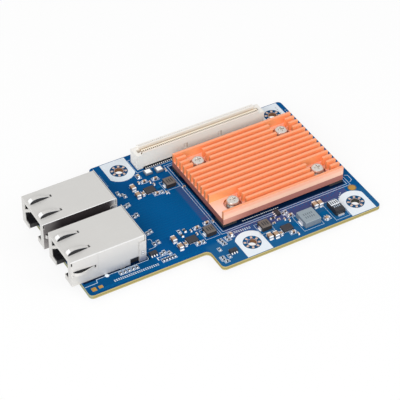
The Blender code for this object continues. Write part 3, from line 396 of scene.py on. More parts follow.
# Each metal: name, colour, shade, roughness, a line's width in millimetres, how it is drawn out
screw_steel = metal_paint(
    "screw_steel", (226, 220, 214), (190, 183, 176), 0.28, 0.2, (1, 1, 6), metallic=0.8
)
spring_steel = metal_paint("spring_steel", (190, 188, 184), (150, 147, 142), 0.3, 0.1, (1, 1, 1))
solder = metal_paint(
    "solder", (246, 248, 250), (206, 210, 216), 0.3, 0.35, (1, 1, 1), 0.01, 0.25, metallic=0.6
)
contact_gold = metal_paint(
    "contact_gold", (222, 178, 92), (196, 146, 62), 0.3, 0.1, (3, 1, 1), metallic=0.8
)
tip_bronze = metal_paint(
    "tip_bronze", (66, 42, 26), (40, 24, 14), 0.6, 0.1, (1, 1, 1), metallic=0.1
)
pad_gold = metal_paint(
    "pad_gold", (196, 152, 74), (168, 124, 58), 0.45, 0.4, (1, 1, 1), metallic=0.5
)
ring_copper = metal_paint(
    "ring_copper", (226, 204, 190), (190, 158, 140), 0.38, 0.3, (1, 1, 1), 0.006, metallic=0.5
)

# %% [markdown]
# Two metals vary with place, so each has a function of its own. The shields' rolled sheet has long
# faint streaks, and its upright sides are painted a little lighter as painted light. The gap between
# the two ports is a deep slot with painted shade, and the sheet shows a seam and two pressed dimples,
# each painted as a ring of painted shade round a painted highlight. A painted highlight runs along
# each fold and on the left slope of each spring, whose sides have painted shade. Low on its sides it
# has a painted reflection of the board's blue, in streaks, darker on the rear tab. The heatsink was
# milled, so fine lines run along its fins. Its pockets are paler. The fins' walls are painted more
# saturated as painted bounce light, the front faces lighter as painted light, and the base darker and
# redder than the fins' faces as painted shade.

# %% Shields and heatsink
PORT_MIDDLES = [float(sum(on_card(f"port_insert_{i}"))[1]) / 2 for i in (1, 2)]
PORT_HALF_WIDTH = 8.43
PORT_GAP = (23.9, 28.2)
SHELL_TOP = 11.2
SEAM_X = 6.6
DIMPLES = ((23.3, 3.35), (23.3, 4.35))
HEATSINK_BASE_TOP = 3.6
heatsink_low, heatsink_high = on_card("heatsink")


def shield_paint():
    paint = Paint("shield_steel")
    streaks = paint.noise(0.12, detail=3.0, stretch=(40, 1, 1))
    cloud = paint.noise(9.0, detail=1.0)
    out = paint.facing()
    across = abs(out[1])
    upright = across.above(0.6, 0.1)
    sheet = paint.blend(ink(212, 211, 208), ink(200, 198, 195), streaks * 0.5 + cloud * 0.35)
    # Painted light: the upright sides a little lighter than the top
    sheet = paint.blend(sheet, ink(218, 216, 213), upright * 0.7)
    # Painted highlight: a white line along the roof's long edges and each fold, stronger on the rear
    # port
    roof = paint.z.above(SHELL_TOP - 0.3, 0.1)
    fold_highlights = [abs(paint.y - y + PORT_HALF_WIDTH).below(0.22) for y in PORT_MIDDLES]
    fold_highlights.append(across.above(0.3, 0.1) * across.below(0.93, 0.04))
    lit = 0.5 + paint.y.above(PORT_GAP[0] + 1.0) * 0.5
    sheet = paint.blend(sheet, ink(255, 255, 255), combined("MAXIMUM", fold_highlights) * roof * lit)
    raised = paint.z.above(SHELL_TOP + 0.1, 0.05)
    # Painted highlight: white on the left slope of each raised spring
    crown_highlight = (out[0] * -1).above(0.24, 0.06) * out[2].above(0.4, 0.1) * raised
    sheet = paint.blend(sheet, ink(255, 255, 255), crown_highlight)
    # Painted shade: the upright sides of the raised springs
    sheet = paint.blend(sheet, ink(70, 72, 82), raised * upright)
    seam = abs(paint.x - SEAM_X).below(0.07, 0.04) * paint.z.above(3.6) * upright
    sheet = paint.blend(sheet, ink(196, 194, 190), seam * 0.6)
    # Painted shade: the sides in the deep gap between the ports, lighter towards the front
    gap = paint.y.above(PORT_GAP[0], 0.05) * paint.y.below(PORT_GAP[1], 0.05)
    shade = gap * upright * paint.x.below(23.0, 1.5) * (1 - paint.x.below(1.5, 2.5) * 0.35)
    sheet = paint.blend(sheet, ink(112, 104, 106), shade)
    # Painted reflection: the board's blue low on the upright sides, in streaks, outside the gap
    mirrored = upright * paint.z.below(1.8, 1.8) * paint.x.above(9.0, 6.0) * (1 - gap)
    reflection_streaks = paint.noise(0.5, detail=2.0, stretch=(1, 1, 9))
    sheet = paint.blend(sheet, ink(128, 138, 156), mirrored * (0.35 + reflection_streaks * 0.6))
    # Painted reflection: darker navy low on the rear tab
    tab = mirrored * paint.x.above(22.0, 0.05) * paint.z.below(3.2, 1.2)
    sheet = paint.blend(sheet, ink(96, 104, 134), tab * 0.8)
    # Each pressed dimple is painted as a ring of painted shade round a painted highlight
    for x, z in DIMPLES:
        away = paint.distance(paint.x - x, paint.z - z)
        sheet = paint.blend(sheet, ink(136, 136, 140), away.below(0.55, 0.1) * upright * 0.6)
        sheet = paint.blend(sheet, ink(252, 252, 252), away.below(0.3, 0.1) * upright)
    height = streaks * 0.02 - seam * 0.3
    return paint.finished(
        Base_Color=sheet,
        Roughness=0.38 + streaks * 0.12 - crown_highlight * 0.15,
        Metallic=0.3 + shade * 0.6 + crown_highlight * 0.6,
        Normal=paint.bump(height, 0.1),
    )


def heatsink_paint():
    paint = Paint("heatsink_copper")
    out = paint.facing()
    lines = paint.noise(0.09, detail=3.0, stretch=(60, 1, 1))
    cloud = paint.noise(9.0, detail=1.0)
    milled = lines * 0.5 + cloud * 0.35
    up = out[2].above(0.7, 0.1)
    side = abs(out[1]).above(0.7, 0.1)
    tops = paint.blend(ink(255, 178, 138), ink(248, 156, 112), milled)
    # Painted bounce light: faces that don't look up are a more saturated orange than the tops
    walls = paint.blend(ink(255, 178, 122), ink(255, 160, 102), milled)
    floors = paint.blend(ink(254, 222, 208), ink(250, 206, 190), milled)
    front = side * paint.y.below(heatsink_low[1] + 0.115, 0.02)
    copper = paint.blend(tops, walls, 1 - up)
    copper = paint.blend(copper, floors, up * paint.z.below(heatsink_high[2] - 0.4))
    # Painted light: the front faces lighter than the tops, lightest low down
    lit_front_face = paint.blend(ink(255, 206, 180), ink(255, 186, 156), paint.z.above(5.6, 0.5))
    copper = paint.blend(copper, lit_front_face, front)
    # Painted shade: the base's sides darker and redder, and its front darkening towards the right
    low = (1 - up) * paint.z.below(HEATSINK_BASE_TOP - 0.03, 0.03)
    shaded_base_front = paint.blend(ink(218, 152, 132), ink(176, 114, 102), paint.x.above(62.0, 6.0))
    copper = paint.blend(copper, ink(188, 114, 98), low * (1 - side))
    copper = paint.blend(copper, shaded_base_front, low * front)
    return paint.finished(
        Base_Color=copper,
        Roughness=0.38 + lines * 0.12,
        Metallic=0.5 - side * 0.25 - front * 0.2,
        Normal=paint.bump(lines, 0.003),
    )


shield_steel = shield_paint()
heatsink_copper = heatsink_paint()

# %% [markdown]
# Plastics, ceramics and print are dull, and each has its own grain: fine spark texture on the
# ports' black plastic, pressed powder on the inductors and open cells on the foam. Again one
# function mixes them, from two tints and the grain's size and depth.

# %% Plastics, powders and print
def plain_paint(name, colour, shade, roughness, grain, depth, share=0.5, gloss=0.5, sides=None):
    """A dull surface: two tints mixed by grain of a size in mm, which also raises it a little. Its
    sides may be given a darker colour, as painted shade."""
    paint = Paint(name)
    grains = paint.noise(grain, detail=3.0)
    cloud = paint.noise(grain * 25, detail=1.0)
    tint = paint.blend(ink(*colour), ink(*shade), grains * share + cloud * 0.25)
    # Painted shade: faces that don't look up get the darker colour of the sides
    if sides:
        tint = paint.blend(tint, ink(*sides), paint.facing()[2].below(0.5, 0.1) * (0.8 + grains * 0.3))
    return paint.finished(
        Base_Color=tint,
        Roughness=roughness - 0.05 + grains * 0.1,
        Specular_IOR_Level=gloss,
        Normal=paint.bump(grains, depth),
    )


# Each: name, colour, shade, roughness, the grain's size and its depth in millimetres
port_plastic = plain_paint("port_plastic", (30, 30, 33), (18, 18, 21), 0.42, 0.15, 0.01)
chip_resin = plain_paint("chip_resin", (42, 42, 50), (28, 28, 34), 0.5, 0.12, 0.008)
# The inductors' and the ceramic capacitors' sides are given darker colours as painted shade
ferrite_powder = plain_paint(
    "ferrite_powder", (112, 104, 99), (78, 72, 69), 0.55, 0.18, 0.02, sides=(34, 31, 31)
)
ferrite_grey = plain_paint(
    "ferrite_grey", (150, 163, 171), (122, 136, 146), 0.5, 0.2, 0.02, sides=(112, 124, 136)
)
ceramic_tan = plain_paint(
    "ceramic_tan", (186, 156, 128), (158, 126, 100), 0.42, 0.15, 0.006, sides=(92, 70, 56)
)
resistor_black = plain_paint("resistor_black", (44, 44, 48), (26, 26, 30), 0.35, 0.12, 0.004)
foam_black = plain_paint("foam_black", (62, 61, 62), (30, 30, 32), 0.85, 0.25, 0.06, share=1.0)
mark_grey = plain_paint("mark_grey", (92, 104, 114), (80, 92, 102), 0.5, 0.2, 0.004)
bare_laminate = plain_paint("bare_laminate", (118, 100, 70), (98, 84, 60), 0.6, 0.2, 0.01)
pad_grey = plain_paint("pad_grey", (168, 164, 172), (150, 146, 154), 0.6, 0.3, 0.01)
print_white = plain_paint("print_white", (232, 239, 245), (220, 230, 239), 0.55, 0.2, 0.004)
print_fine = plain_paint("print_fine", (206, 226, 244), (190, 214, 236), 0.55, 0.2, 0.004)
track_blue = plain_paint("track_blue", (0, 96, 152), (0, 84, 140), 0.4, 0.3, 0.003, gloss=0.03)

# %% [markdown]
# A leaded chip and a lidded crystal are one CAD solid each, though each is of two materials. So
# their finishes tell lead from body, and lid from solder, by the distance from each part's middle.

# %% Parts of two materials
def leaded_paint(name, nodes, body_edge, colour, axis=None):
    """Black resin whose leads are tinned: they are what stands further from the middle than the
    body's edge, along a given axis, or else along the part's shorter one."""
    paint = Paint(name)
    grains = paint.noise(0.12, detail=3.0)
    leads = []
    for node in nodes:
        low, high = on_card(node)
        middle, size = (low + high) / 2, high - low
        away = [abs(paint.x - float(middle[0])), abs(paint.y - float(middle[1]))]
        across = int(size[1] < size[0]) if axis is None else axis
        lead = away[across].above(body_edge, 0.01) * away[0].below(size[0]) * away[1].below(size[1])
        leads.append(lead)
    tin = combined("MAXIMUM", leads)
    resin = paint.blend(ink(*colour), ink(22, 22, 27), grains * 0.6)
    return paint.finished(
        Base_Color=paint.blend(resin, ink(244, 246, 248), tin),
        Roughness=0.5 - tin * 0.2,
        Metallic=tin * 0.5,
        Normal=paint.bump(grains, 0.008),
    )


def lid_paint(name, nodes, length, width):
    """A white lid in the middle of each part and solder round it, down to the board."""
    paint = Paint(name)
    grains = paint.noise(0.2)
    lids = []
    for node in nodes:
        low, high = on_card(node)
        x, y = ((low + high) / 2)[:2].tolist()
        lids.append(((x - length / 2, x + length / 2), (y - width / 2, y + width / 2), 0.04))
    lid = paint.regions(*lids) * paint.facing()[2].above(0.5)
    return paint.finished(
        Base_Color=paint.blend(ink(128, 136, 148), ink(250, 251, 251), lid),
        Roughness=0.35 + grains * 0.1,
        Metallic=0.4 - lid * 0.4,
        Normal=paint.bump(grains, 0.004),
    )


crystal_lid = lid_paint("crystal_lid", ["crystal_1", "crystal_2"], 2.1, 1.9)
small_chip = leaded_paint(
    "small_chip_resin", ["small_ic_1", "small_ic_2", "small_ic_3"], 0.81, (40, 41, 49)
)
capacitor_resin = leaded_paint("capacitor_resin", ["molded_capacitor"], 3.11, (26, 28, 34), axis=1)

# %% [markdown]
# The board connector is one CAD solid, housing and solder tails together, so its finish is chosen
# by place. Near the board, what stands out of the housing is tinned metal, and the recess that it
# comes out of is painted near black as painted shade. The cells in the lip, the moulding marks and
# the pockets at the ends are told from the rest in the same way, and painted darker as painted
# shade, with a dot of painted shade at each cell's mouth on the lip. The cells' count and spacing
# are the CAD's.

# %% Ivory housing with tinned tails
CELL_COUNT = 60
CELL_PITCH = 0.8
CELL_INSET = 0.9
TAIL_REACH = 0.9
END_BLOCK_LENGTH = 2.47
POCKET_REACH = 24.33
TROUGH_ENDS = (45.1, 96.1)
TROUGH_WALL = 1.7
MARK_EDGES = (64.55, 78.9)
MARK_HEIGHTS = (2.6, 4.75)
TAIL_TOP = 0.72
CELL_HEIGHTS = (6.45, 7.2)
POCKET_HEIGHTS = (5.5, 7.3)
LIP_HEIGHT = 7.0
connector_low, connector_high = on_card("mezzanine_connector")
CONNECTOR_FRONT, CONNECTOR_BACK = connector_low[1] + TAIL_REACH, connector_high[1] - TAIL_REACH
CONNECTOR_WALLS = (connector_low[0] + END_BLOCK_LENGTH, connector_high[0] - END_BLOCK_LENGTH)
CONNECTOR_MIDDLE = (connector_low[0] + connector_high[0]) / 2
CELL_X = CONNECTOR_MIDDLE + (np.arange(CELL_COUNT) - (CELL_COUNT - 1) / 2) * CELL_PITCH


def housing_paint():
    paint = Paint("housing_ivory")

    def between(value, low, high, blur=0.02):
        return value.above(low, blur) * value.below(high, blur)

    along = between(paint.x, *CONNECTOR_WALLS)
    low_down = along * paint.z.below(TAIL_TOP, 0.02)
    covered = between(paint.y, CONNECTOR_FRONT - 0.5, CONNECTOR_BACK + 0.5, 0.15)
    tails = low_down * (1 - covered)
    shaded_recess = low_down * covered
    from_row = abs(paint.y - CONNECTOR_FRONT - CELL_INSET)
    cells = along * from_row.below(0.27, 0.02) * between(paint.z, *CELL_HEIGHTS)
    marks = []
    for x in MARK_EDGES:
        upright_edge = abs(paint.x - x).below(0.17, 0.05) * between(paint.z, *MARK_HEIGHTS)
        top_edge = between(paint.x, x - 1.1, x + 0.1) * between(paint.z, 4.35, 4.8)
        left_edge = abs(paint.x - x + 1.3).below(0.14, 0.05) * between(paint.z, 3.5, 4.75)
        marks += [upright_edge * 0.7, top_edge * 0.35 + left_edge * 0.35]
    from_pocket = abs(abs(paint.x - CONNECTOR_MIDDLE) - POCKET_REACH)
    pockets = from_pocket.below(0.32, 0.01) * from_row.below(0.32, 0.01)
    pockets *= between(paint.z, *POCKET_HEIGHTS)
    trough = paint.inside(TROUGH_ENDS, (CONNECTOR_FRONT + TROUGH_WALL, CONNECTOR_BACK - TROUGH_WALL))
    front = paint.y.below(CONNECTOR_FRONT + 0.3, 0.02)
    grains = paint.noise(0.2)
    cloud = paint.noise(9.0, detail=1.0)
    ivory = paint.blend(ink(244, 241, 236), ink(236, 231, 224), grains * 0.4 + cloud * 0.4)
    ivory = paint.blend(ivory, ink(230, 230, 224), front)
    depth = paint.y - CONNECTOR_FRONT
    lip = along * between(depth, -0.1, 1.9) * paint.z.above(LIP_HEIGHT, 0.03)
    ivory = paint.blend(ivory, ink(218, 209, 200), lip)
    ivory = paint.blend(ivory, ink(255, 242, 220), lip * depth.above(0.5, 0.03))
    # Painted shade: a dark dot at the mouth of each cell on the lip
    from_cell = abs((paint.x - CELL_X[0]).math("WRAP", CELL_PITCH / 2, -CELL_PITCH / 2))
    in_row = between(paint.x, CELL_X[0] - CELL_PITCH / 2, CELL_X[-1] + CELL_PITCH / 2)
    shaded_mouths = from_cell.below(0.23, 0.02) * in_row * between(depth, 0.5, 1.2)
    shaded_mouths *= paint.z.above(LIP_HEIGHT)
    ivory = paint.blend(ivory, ink(104, 66, 42), shaded_mouths * 0.9)
    ivory = paint.blend(ivory, ink(238, 228, 214), trough * 0.7)
    # Painted shade: the edges of the moulding marks on the front
    ivory = paint.blend(ivory, ink(160, 140, 124), combined("MAXIMUM", marks) * front)
    # Painted shade: inside the pockets at the ends
    ivory = paint.blend(ivory, ink(140, 108, 78), pockets)
    # Painted shade: the walls inside the cells dark brown
    ivory = paint.blend(ivory, ink(84, 62, 42), cells)
    # Painted shade: the recess under the housing near black
    ivory = paint.blend(ivory, ink(12, 12, 14), shaded_recess)
    return paint.finished(
        Base_Color=paint.blend(ivory, ink(250, 250, 250), tails),
        Roughness=0.45 - tails * 0.15,
        Metallic=tails * 0.3,
        Normal=paint.bump(grains, 0.004),
    )


housing_ivory = housing_paint()
board_lacquer = board_paint()
print("cells from", CELL_X[0].round(2), "to", CELL_X[-1].round(2))
print("finishes:", len(bpy.data.materials))

# %% [markdown]
# Each CAD node keeps its mesh and gets its finish in its own material slots. A node's name without
# its number says what it is, so one table dresses them all.

# %% Dress the CAD nodes
NODE_FINISHES = {
    "circuit_board": board_lacquer,
    "port_shell": shield_steel,
    "port_rear_cover": shield_steel,
    "port_insert": port_plastic,
    "port_contacts": contact_gold,
    "mezzanine_connector": housing_ivory,
    "heatsink": heatsink_copper,
    "controller_chip": chip_resin,
    "thermal_pad": pad_grey,
    "foam_pad": foam_black,
    "spring_screw": screw_steel,
    "screw_spring": spring_steel,
    "screw_nut": screw_steel,
    "power_inductor": ferrite_powder,
    "filter_inductor": ferrite_grey,
    "regulator_ic": chip_resin,
    "small_ic": small_chip,
    "crystal": crystal_lid,
    "ceramic_capacitor": ceramic_tan,
    "bypass_capacitor": ceramic_tan,
    "molded_capacitor": capacitor_resin,
}
for name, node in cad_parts.items():
    kind = name.rstrip("0123456789").rstrip("_")
    if not node.material_slots:
        node.data.materials.append(None)
    for held in node.material_slots:
        held.link = "OBJECT"
        held.material = NODE_FINISHES[kind]
print("dressed:", len(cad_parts), "nodes in", len(NODE_FINISHES), "finishes")

# %% [markdown]
# A machined or folded edge is never perfectly sharp, and its tiny round is what catches the light.
# The CAD nodes' meshes stay as they are, and modifiers merge their loose triangles and round
# their edges when the picture is made.

# %% Round the edges that catch light
EDGE_ROUNDS = {
    "heatsink": 0.12, "mezzanine_connector": 0.06, "circuit_board": 0.05,
    "port_shell_1": 0.08, "port_shell_2": 0.08, "port_insert_1": 0.1, "port_insert_2": 0.1,
}
for name, width in EDGE_ROUNDS.items():
    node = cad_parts[name]
    weld = node.modifiers.new("weld", "WELD")
    weld.merge_threshold = 1e-6
    flat = node.modifiers.new("flat", "DECIMATE")
    flat.decimate_type = "DISSOLVE"
    flat.angle_limit = radians(1)
    rounding = node.modifiers.new("rounding", "BEVEL")
    rounding.width = width * MM
    rounding.segments = 2
    rounding.limit_method = "ANGLE"
    rounding.angle_limit = radians(50)
    rounding.use_clamp_overlap = True
print("rounded:", *EDGE_ROUNDS)

# %% [markdown]
# Every new piece is a surface worked out as whole arrays. Most of them are a profile carried round
# an outline: a pad, a chip's body and a solder cone differ only in those two lists. A shape is
# kept as its points and its faces, and faces are grouped with the number of the finish that they
# wear. What lies on a face starts a hair under it, so that no gap shows.

# %% Shapes as arrays
SUNK = -0.02


def carried(outline, profile, finish=0):
    """A profile carried round a closed outline, and capped at both ends. Point (i, j) is outline point
    i, moved outwards along the outline's normal by profile j's offset, at profile j's height."""
    outline, profile = np.asarray(outline, float), np.asarray(profile, float)
    n, m = len(outline), len(profile)
    ahead = np.roll(outline, -1, 0) - outline
    ahead /= np.linalg.norm(ahead, axis=1)[:, None]
    out = np.stack([ahead[:, 1], -ahead[:, 0]], 1)
    before = np.roll(out, 1, 0)
    mitre = (out + before) / (1 + (out * before).sum(1))[:, None]
    flat = outline[:, None] + mitre[:, None] * profile[None, :, :1]
    heights = np.broadcast_to(profile[None, :, 1:], (n, m, 1))
    points = np.concatenate([flat, heights], 2).reshape(-1, 3)
    i, j = np.meshgrid(np.arange(n), np.arange(m - 1), indexing="ij")
    after, above = (i + 1) % n, j + 1
    quads = np.stack([i * m + j, after * m + j, after * m + above, i * m + above], -1).reshape(-1, 4)
    ring = np.arange(n) * m
    return points, [(quads, finish), (ring[None, ::-1], finish), (ring[None] + m - 1, finish)]


def band(inner, outer, low, high, finish=0):
    """A flat ring between two outlines with the same number of points, from low to high. Each point
    carries a section of four corners: outside low, outside high, inside high, inside low."""
    inner, outer = np.asarray(inner, float), np.asarray(outer, float)
    n = len(inner)
    flat = np.stack([outer, outer, inner, inner], 1)
    heights = np.broadcast_to(np.array([low, high, high, low])[None, :, None], (n, 4, 1))
    points = np.concatenate([flat, heights], 2).reshape(-1, 3)
    i, j = np.meshgrid(np.arange(n), np.arange(4), indexing="ij")
    after, above = (i + 1) % n, (j + 1) % 4
    quads = np.stack([i * 4 + j, after * 4 + j, after * 4 + above, i * 4 + above], -1)
    return points, [(quads.reshape(-1, 4), finish)]


def strips(paths, width, low, high):
    """Flat strips along open paths, given as an array of strips by points by two. The corners of each
    section stand half a width to each side, along the mitred normal."""
    paths = np.asarray(paths, float)
    k, n = paths.shape[:2]
    ahead = np.diff(paths, axis=1)
    ahead /= np.linalg.norm(ahead, axis=2)[..., None]
    left = np.stack([-ahead[..., 1], ahead[..., 0]], -1)
    first, last = left[:, :1], left[:, -1:]
    middle = left[:, :-1] + left[:, 1:]
    middle = middle / (1 + (left[:, :-1] * left[:, 1:]).sum(-1))[..., None]
    side = np.concatenate([first, middle, last], 1) * width / 2
    flat = np.stack([paths - side, paths - side, paths + side, paths + side], 2)
    heights = np.broadcast_to(np.array([low, high, high, low])[None, None, :, None], (k, n, 4, 1))
    points = np.concatenate([flat, heights], 3).reshape(-1, 3)
    s, i, j = np.meshgrid(np.arange(k), np.arange(n - 1), np.arange(4), indexing="ij")
    start, above = (s * n + i) * 4, (j + 1) % 4
    quads = np.stack([start + j, start + 4 + j, start + 4 + above, start + above], -1).reshape(-1, 4)
    section = np.arange(4)
    ends = np.arange(k)[:, None] * n * 4 + section
    caps = np.concatenate([ends, (ends + (n - 1) * 4)[:, ::-1]])
    return points, [(quads, 0), (caps, 0)]


def together(*shapes):
    """Several shapes as one, with the faces of each counted on from the last."""
    points, groups, start = [], [], 0
    for shape_points, shape_groups in shapes:
        points.append(shape_points)
        groups += [(faces + start, finish) for faces, finish in shape_groups]
        start += len(shape_points)
    return np.concatenate(points), groups


def copies(shape, places, turns=0.0):
    """A shape at each place: turned about Z by its angle in degrees, then moved. Places have two or
    three numbers. All copies are worked out at once."""
    points, groups = shape
    places = np.asarray(places, float)
    if places.shape[1] == 2:
        places = np.column_stack([places, np.zeros(len(places))])
    angle = np.radians(np.broadcast_to(turns, len(places)))[:, None]
    x, y = points[None, :, 0], points[None, :, 1]
    turned = np.stack([
        x * np.cos(angle) - y * np.sin(angle),
        x * np.sin(angle) + y * np.cos(angle),
        np.broadcast_to(points[None, :, 2], (len(places), len(points))),
    ], -1)
    start = np.arange(len(places))[:, None, None] * len(points)
    many = [((faces[None] + start).reshape(-1, faces.shape[1]), finish) for faces, finish in groups]
    return (turned + places[:, None]).reshape(-1, 3), many


def flipped(shape):
    """A shape under the board instead of on it: heights are mirrored through the board's middle, and
    each face is listed backwards so that it still looks outwards."""
    points, groups = shape
    under = points * [1, 1, -1] - [0, 0, BOARD_THICKNESS]
    return under, [(faces[:, ::-1], finish) for faces, finish in groups]


# %% Outlines
def box_outline(length, width, centre=(0.0, 0.0)):
    """The four corners of a rectangle about its middle, anticlockwise."""
    signs = np.array([(-1, -1), (1, -1), (1, 1), (-1, 1)])
    return signs * [length / 2, width / 2] + centre


def soft_outline(length, width, radius, steps=2):
    """A rectangle with round corners: each corner point plus a quarter circle of the radius."""
    quarter = np.linspace(0, pi / 2, steps + 1)
    starts = np.array([pi, 1.5 * pi, 0, 0.5 * pi])
    angles = (starts[:, None] + quarter).ravel()
    centres = np.repeat(box_outline(length - 2 * radius, width - 2 * radius), steps + 1, 0)
    return centres + radius * np.stack([np.cos(angles), np.sin(angles)], 1)


def round_outline(radius, sides):
    """Points evenly round a circle."""
    angles = 2 * pi * np.arange(sides) / sides
    return radius * np.stack([np.cos(angles), np.sin(angles)], 1)


def soft_block(length, width, low, high, radius, chamfer, finish=0):
    """A block with round upright corners and a bevelled top."""
    profile = [(0, low), (0, high - chamfer), (-chamfer, high)]
    return carried(soft_outline(length, width, radius), profile, finish=finish)


def flat_mark(outline, low, high):
    """A flat mark: its outline carried straight up from low to high."""
    return carried(outline, [(0, low), (0, high)])


# %% From arrays to a piece of the card
def piece(name, shape, finishes, smooth=True):
    """Makes a mesh piece from a shape in drawing millimetres, riding on the card."""
    points, groups = shape
    mesh = bpy.data.meshes.new(name)
    faces = [face for rows, _ in groups for face in rows.tolist()]
    mesh.from_pydata((ORIGIN + points * MM).tolist(), [], faces)
    for finish in finishes:
        mesh.materials.append(finish)
    worn = np.concatenate([np.full(len(rows), finish) for rows, finish in groups])
    mesh.polygons.foreach_set("material_index", worn.astype(np.int32))
    if smooth:
        mesh.polygons.foreach_set("use_smooth", np.ones(len(worn), bool))
        mesh.set_sharp_from_angle(angle=radians(40))
    made = bpy.data.objects.new(name, mesh)
    bpy.context.scene.collection.objects.link(made)
    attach(made, "root")
    print(name, len(mesh.polygons), "faces")


# %% [markdown]
# White print marks where the chassis' bosses touch: a disc round each screw hole, run out to the
# nearest edge as a wide strip. Seen from the hole's middle, its border is a distance for each
# angle, the nearest of a circle, two straight sides and the board's edge.

# %% Print round the screw holes
PRINT = (SUNK, 0.03)
KEEPOUT_RADIUS = 5.95
KEEPOUT_SIDE = 5.0
RING_RADIUS = 3.3
EDGE_MARGIN = 0.25


def keepout(hole):
    """Print round a hole: for each angle, the border is the circle or side that is met first."""
    x, y = hole
    to_back = y > BOARD_BACK / 2
    reach = (BOARD_BACK - y if to_back else y + LEFT_END_STEP) - EDGE_MARGIN
    corner = np.arctan2(reach, KEEPOUT_SIDE)
    angle = np.sort(np.append(np.linspace(0, 2 * pi, 96, endpoint=False), [corner, pi - corner]))
    c, s = np.cos(angle), np.sin(angle)
    sides = KEEPOUT_SIDE / np.maximum(abs(c), 1e-6)
    ends = np.where(s > 1e-6, reach / np.maximum(s, 1e-6), KEEPOUT_RADIUS)
    border = np.minimum(sides, ends)
    flip = 1 if to_back else -1
    rays = np.stack([c, s * flip], 1)[::flip]
    return band(rays * RING_RADIUS + hole, rays * border[::flip, None] + hole, *PRINT)


keepouts = together(*(keepout(hole) for hole in SCREW_HOLES))
piece("screw_hole_print", together(keepouts, flipped(keepouts)), [print_white])

# %% [markdown]
# Inside each printed disc, bare plated pads ring the hole so that the screw's head earths the
# board. They are eight small pads and one thin ring round the hole itself.

# %% Plated pads round the screw holes
PAD_CIRCLE = 2.5
PAD_COUNT = 8
pad_angles = (np.arange(PAD_COUNT) + 0.5) * 360 / PAD_COUNT
pad = soft_block(0.95, 0.8, SUNK, 0.04, 0.15, 0.015)
turns = np.radians(pad_angles)
rosette = together(
    copies(pad, PAD_CIRCLE * np.stack([np.cos(turns), np.sin(turns)], 1), pad_angles),
    band(round_outline(1.62, 32), round_outline(1.76, 32), SUNK, 0.035),
)
rosettes = copies(rosette, SCREW_HOLES)
piece("screw_hole_pads", together(rosettes, flipped(rosettes)), [ring_copper])

# %% [markdown]
# Fine print outlines the parts: a double line round the heatsink, thin boxes and corner lines round
# the small parts, and rows of dots beside the ports and the connector.

# %% Printed lines
def rectangle_line(low, high, width):
    """A printed rectangle between two corners."""
    low, high = np.array(low, float), np.array(high, float)
    size, centre = high - low, (high + low) / 2
    inner = box_outline(*(size - width), centre)
    return band(inner, box_outline(*(size + width), centre), *PRINT)


def in_rows(*rows):
    """Evenly spaced places on lines, each given as its start, its end and its count."""
    return np.concatenate([np.linspace(*row) for row in rows])


heatsink_frame = together(
    rectangle_line((54.3, 5.85), (105.8, 45.65), 0.14),
    rectangle_line((53.35, 4.9), (106.75, 46.6), 0.14),
)
part_boxes = together(*(
    rectangle_line(low, high, 0.12) for low, high in (
        ((79.2, -7.9), (87.2, 0.3)), ((91.9, -8.6), (97.7, 1.2)), ((47.3, 34.1), (53.0, 39.2)),
        ((47.2, 5.0), (52.6, 10.2)), ((65.2, -2.1), (70.6, 3.3)), ((43.1, 47.9), (98.1, 55.5)),
    )
))
corner_lines = strips([
    [(0.2, 4.68), (4.95, 4.72), (5.2, 6.22), (8.6, 6.26)],
    [(10.0, 6.3), (11.5, 6.3), (13.0, 6.27), (24.9, 6.2)],
    [(24.9, 6.2), (25.3, 6.6), (25.35, 7.2), (25.35, 8.0)],
    [(25.9, 26.2), (25.9, 27.2), (26.8, 27.2), (26.8, 28.4)],
    [(29.5, 15.0), (30.3, 14.9), (30.6, 14.3), (30.4, 13.2)],
    [(27.7, 10.55), (28.8, 10.5), (30.1, 10.7), (30.9, 11.1)],
    [(107.4, 6.2), (108.6, 6.9), (108.6, 9.6), (107.6, 10.2)],
], 0.16, *PRINT)
dots = copies(flat_mark(round_outline(0.1, 6), *PRINT), in_rows(
    ((30.6, 46.5), (30.6, 53.6), 16), ((26.3, 9.5), (26.3, 24.0), 26),
    ((26.3, 30.5), (26.3, 45.0), 26), ((106.9, 47.8), (98.6, 47.8), 16),
))
lines = together(heatsink_frame, part_boxes, corner_lines, dots)
piece("printed_lines", lines, [print_fine], smooth=False)

# %% [markdown]
# The rest of the print is rows of short plain strokes, along the board's front and right edges and
# beside the heatsink, with two upright bars and three round spots.

# %% Printed strokes
dash = flat_mark(box_outline(0.52, 0.24), *PRINT)
dashes = together(
    copies(dash, in_rows(
        ((10.5, 3.1), (26.9, 2.9), 22), ((10.5, 2.5), (26.9, 2.3), 22),
        ((56.8, 4.0), (63.4, 3.5), 9), ((56.8, 3.4), (63.4, 2.9), 9),
        ((63.2, 7.2), (70.6, 7.2), 10), ((71.2, 7.2), (77.4, 7.2), 9),
        ((28.6, 5.4), (33.6, 5.4), 8), ((98.8, 0.6), (101.0, 2.8), 4),
    )),
    copies(dash, in_rows(
        ((106.6, 46.2), (106.6, 55.4), 9), ((109.0, 42.5), (109.0, 52.5), 10)
    ), 90.0),
    copies(flat_mark(box_outline(0.32, 1.5), *PRINT), [(28.1, 4.9), (47.9, 32.9)]),
)
spots = together(
    copies(flat_mark(round_outline(0.75, 20), *PRINT), [(9.3, 6.25)]),
    copies(flat_mark(round_outline(0.4, 16), *PRINT), [(27.6, 26.0), (98.9, 46.9)]),
)
piece("printed_strokes", together(dashes, spots), [print_white], smooth=False)

# %% [markdown]
# Signals leave the controller in pairs of tracks that run side by side to the network ports. Each
# is a strip on four points: straight out, across at 45 degrees, and straight on. Wide tracks join
# the power parts, and three fine ones follow the front edge. All are low steps in a lighter blue,
# because a real track raises the lacquer that covers it.

# %% Tracks under the lacquer
TRACK = (SUNK, 0.015)
LANES, SIDE_LANES, EDGE_LANES = 40, 14, 3
PAIR_GAP = 0.36


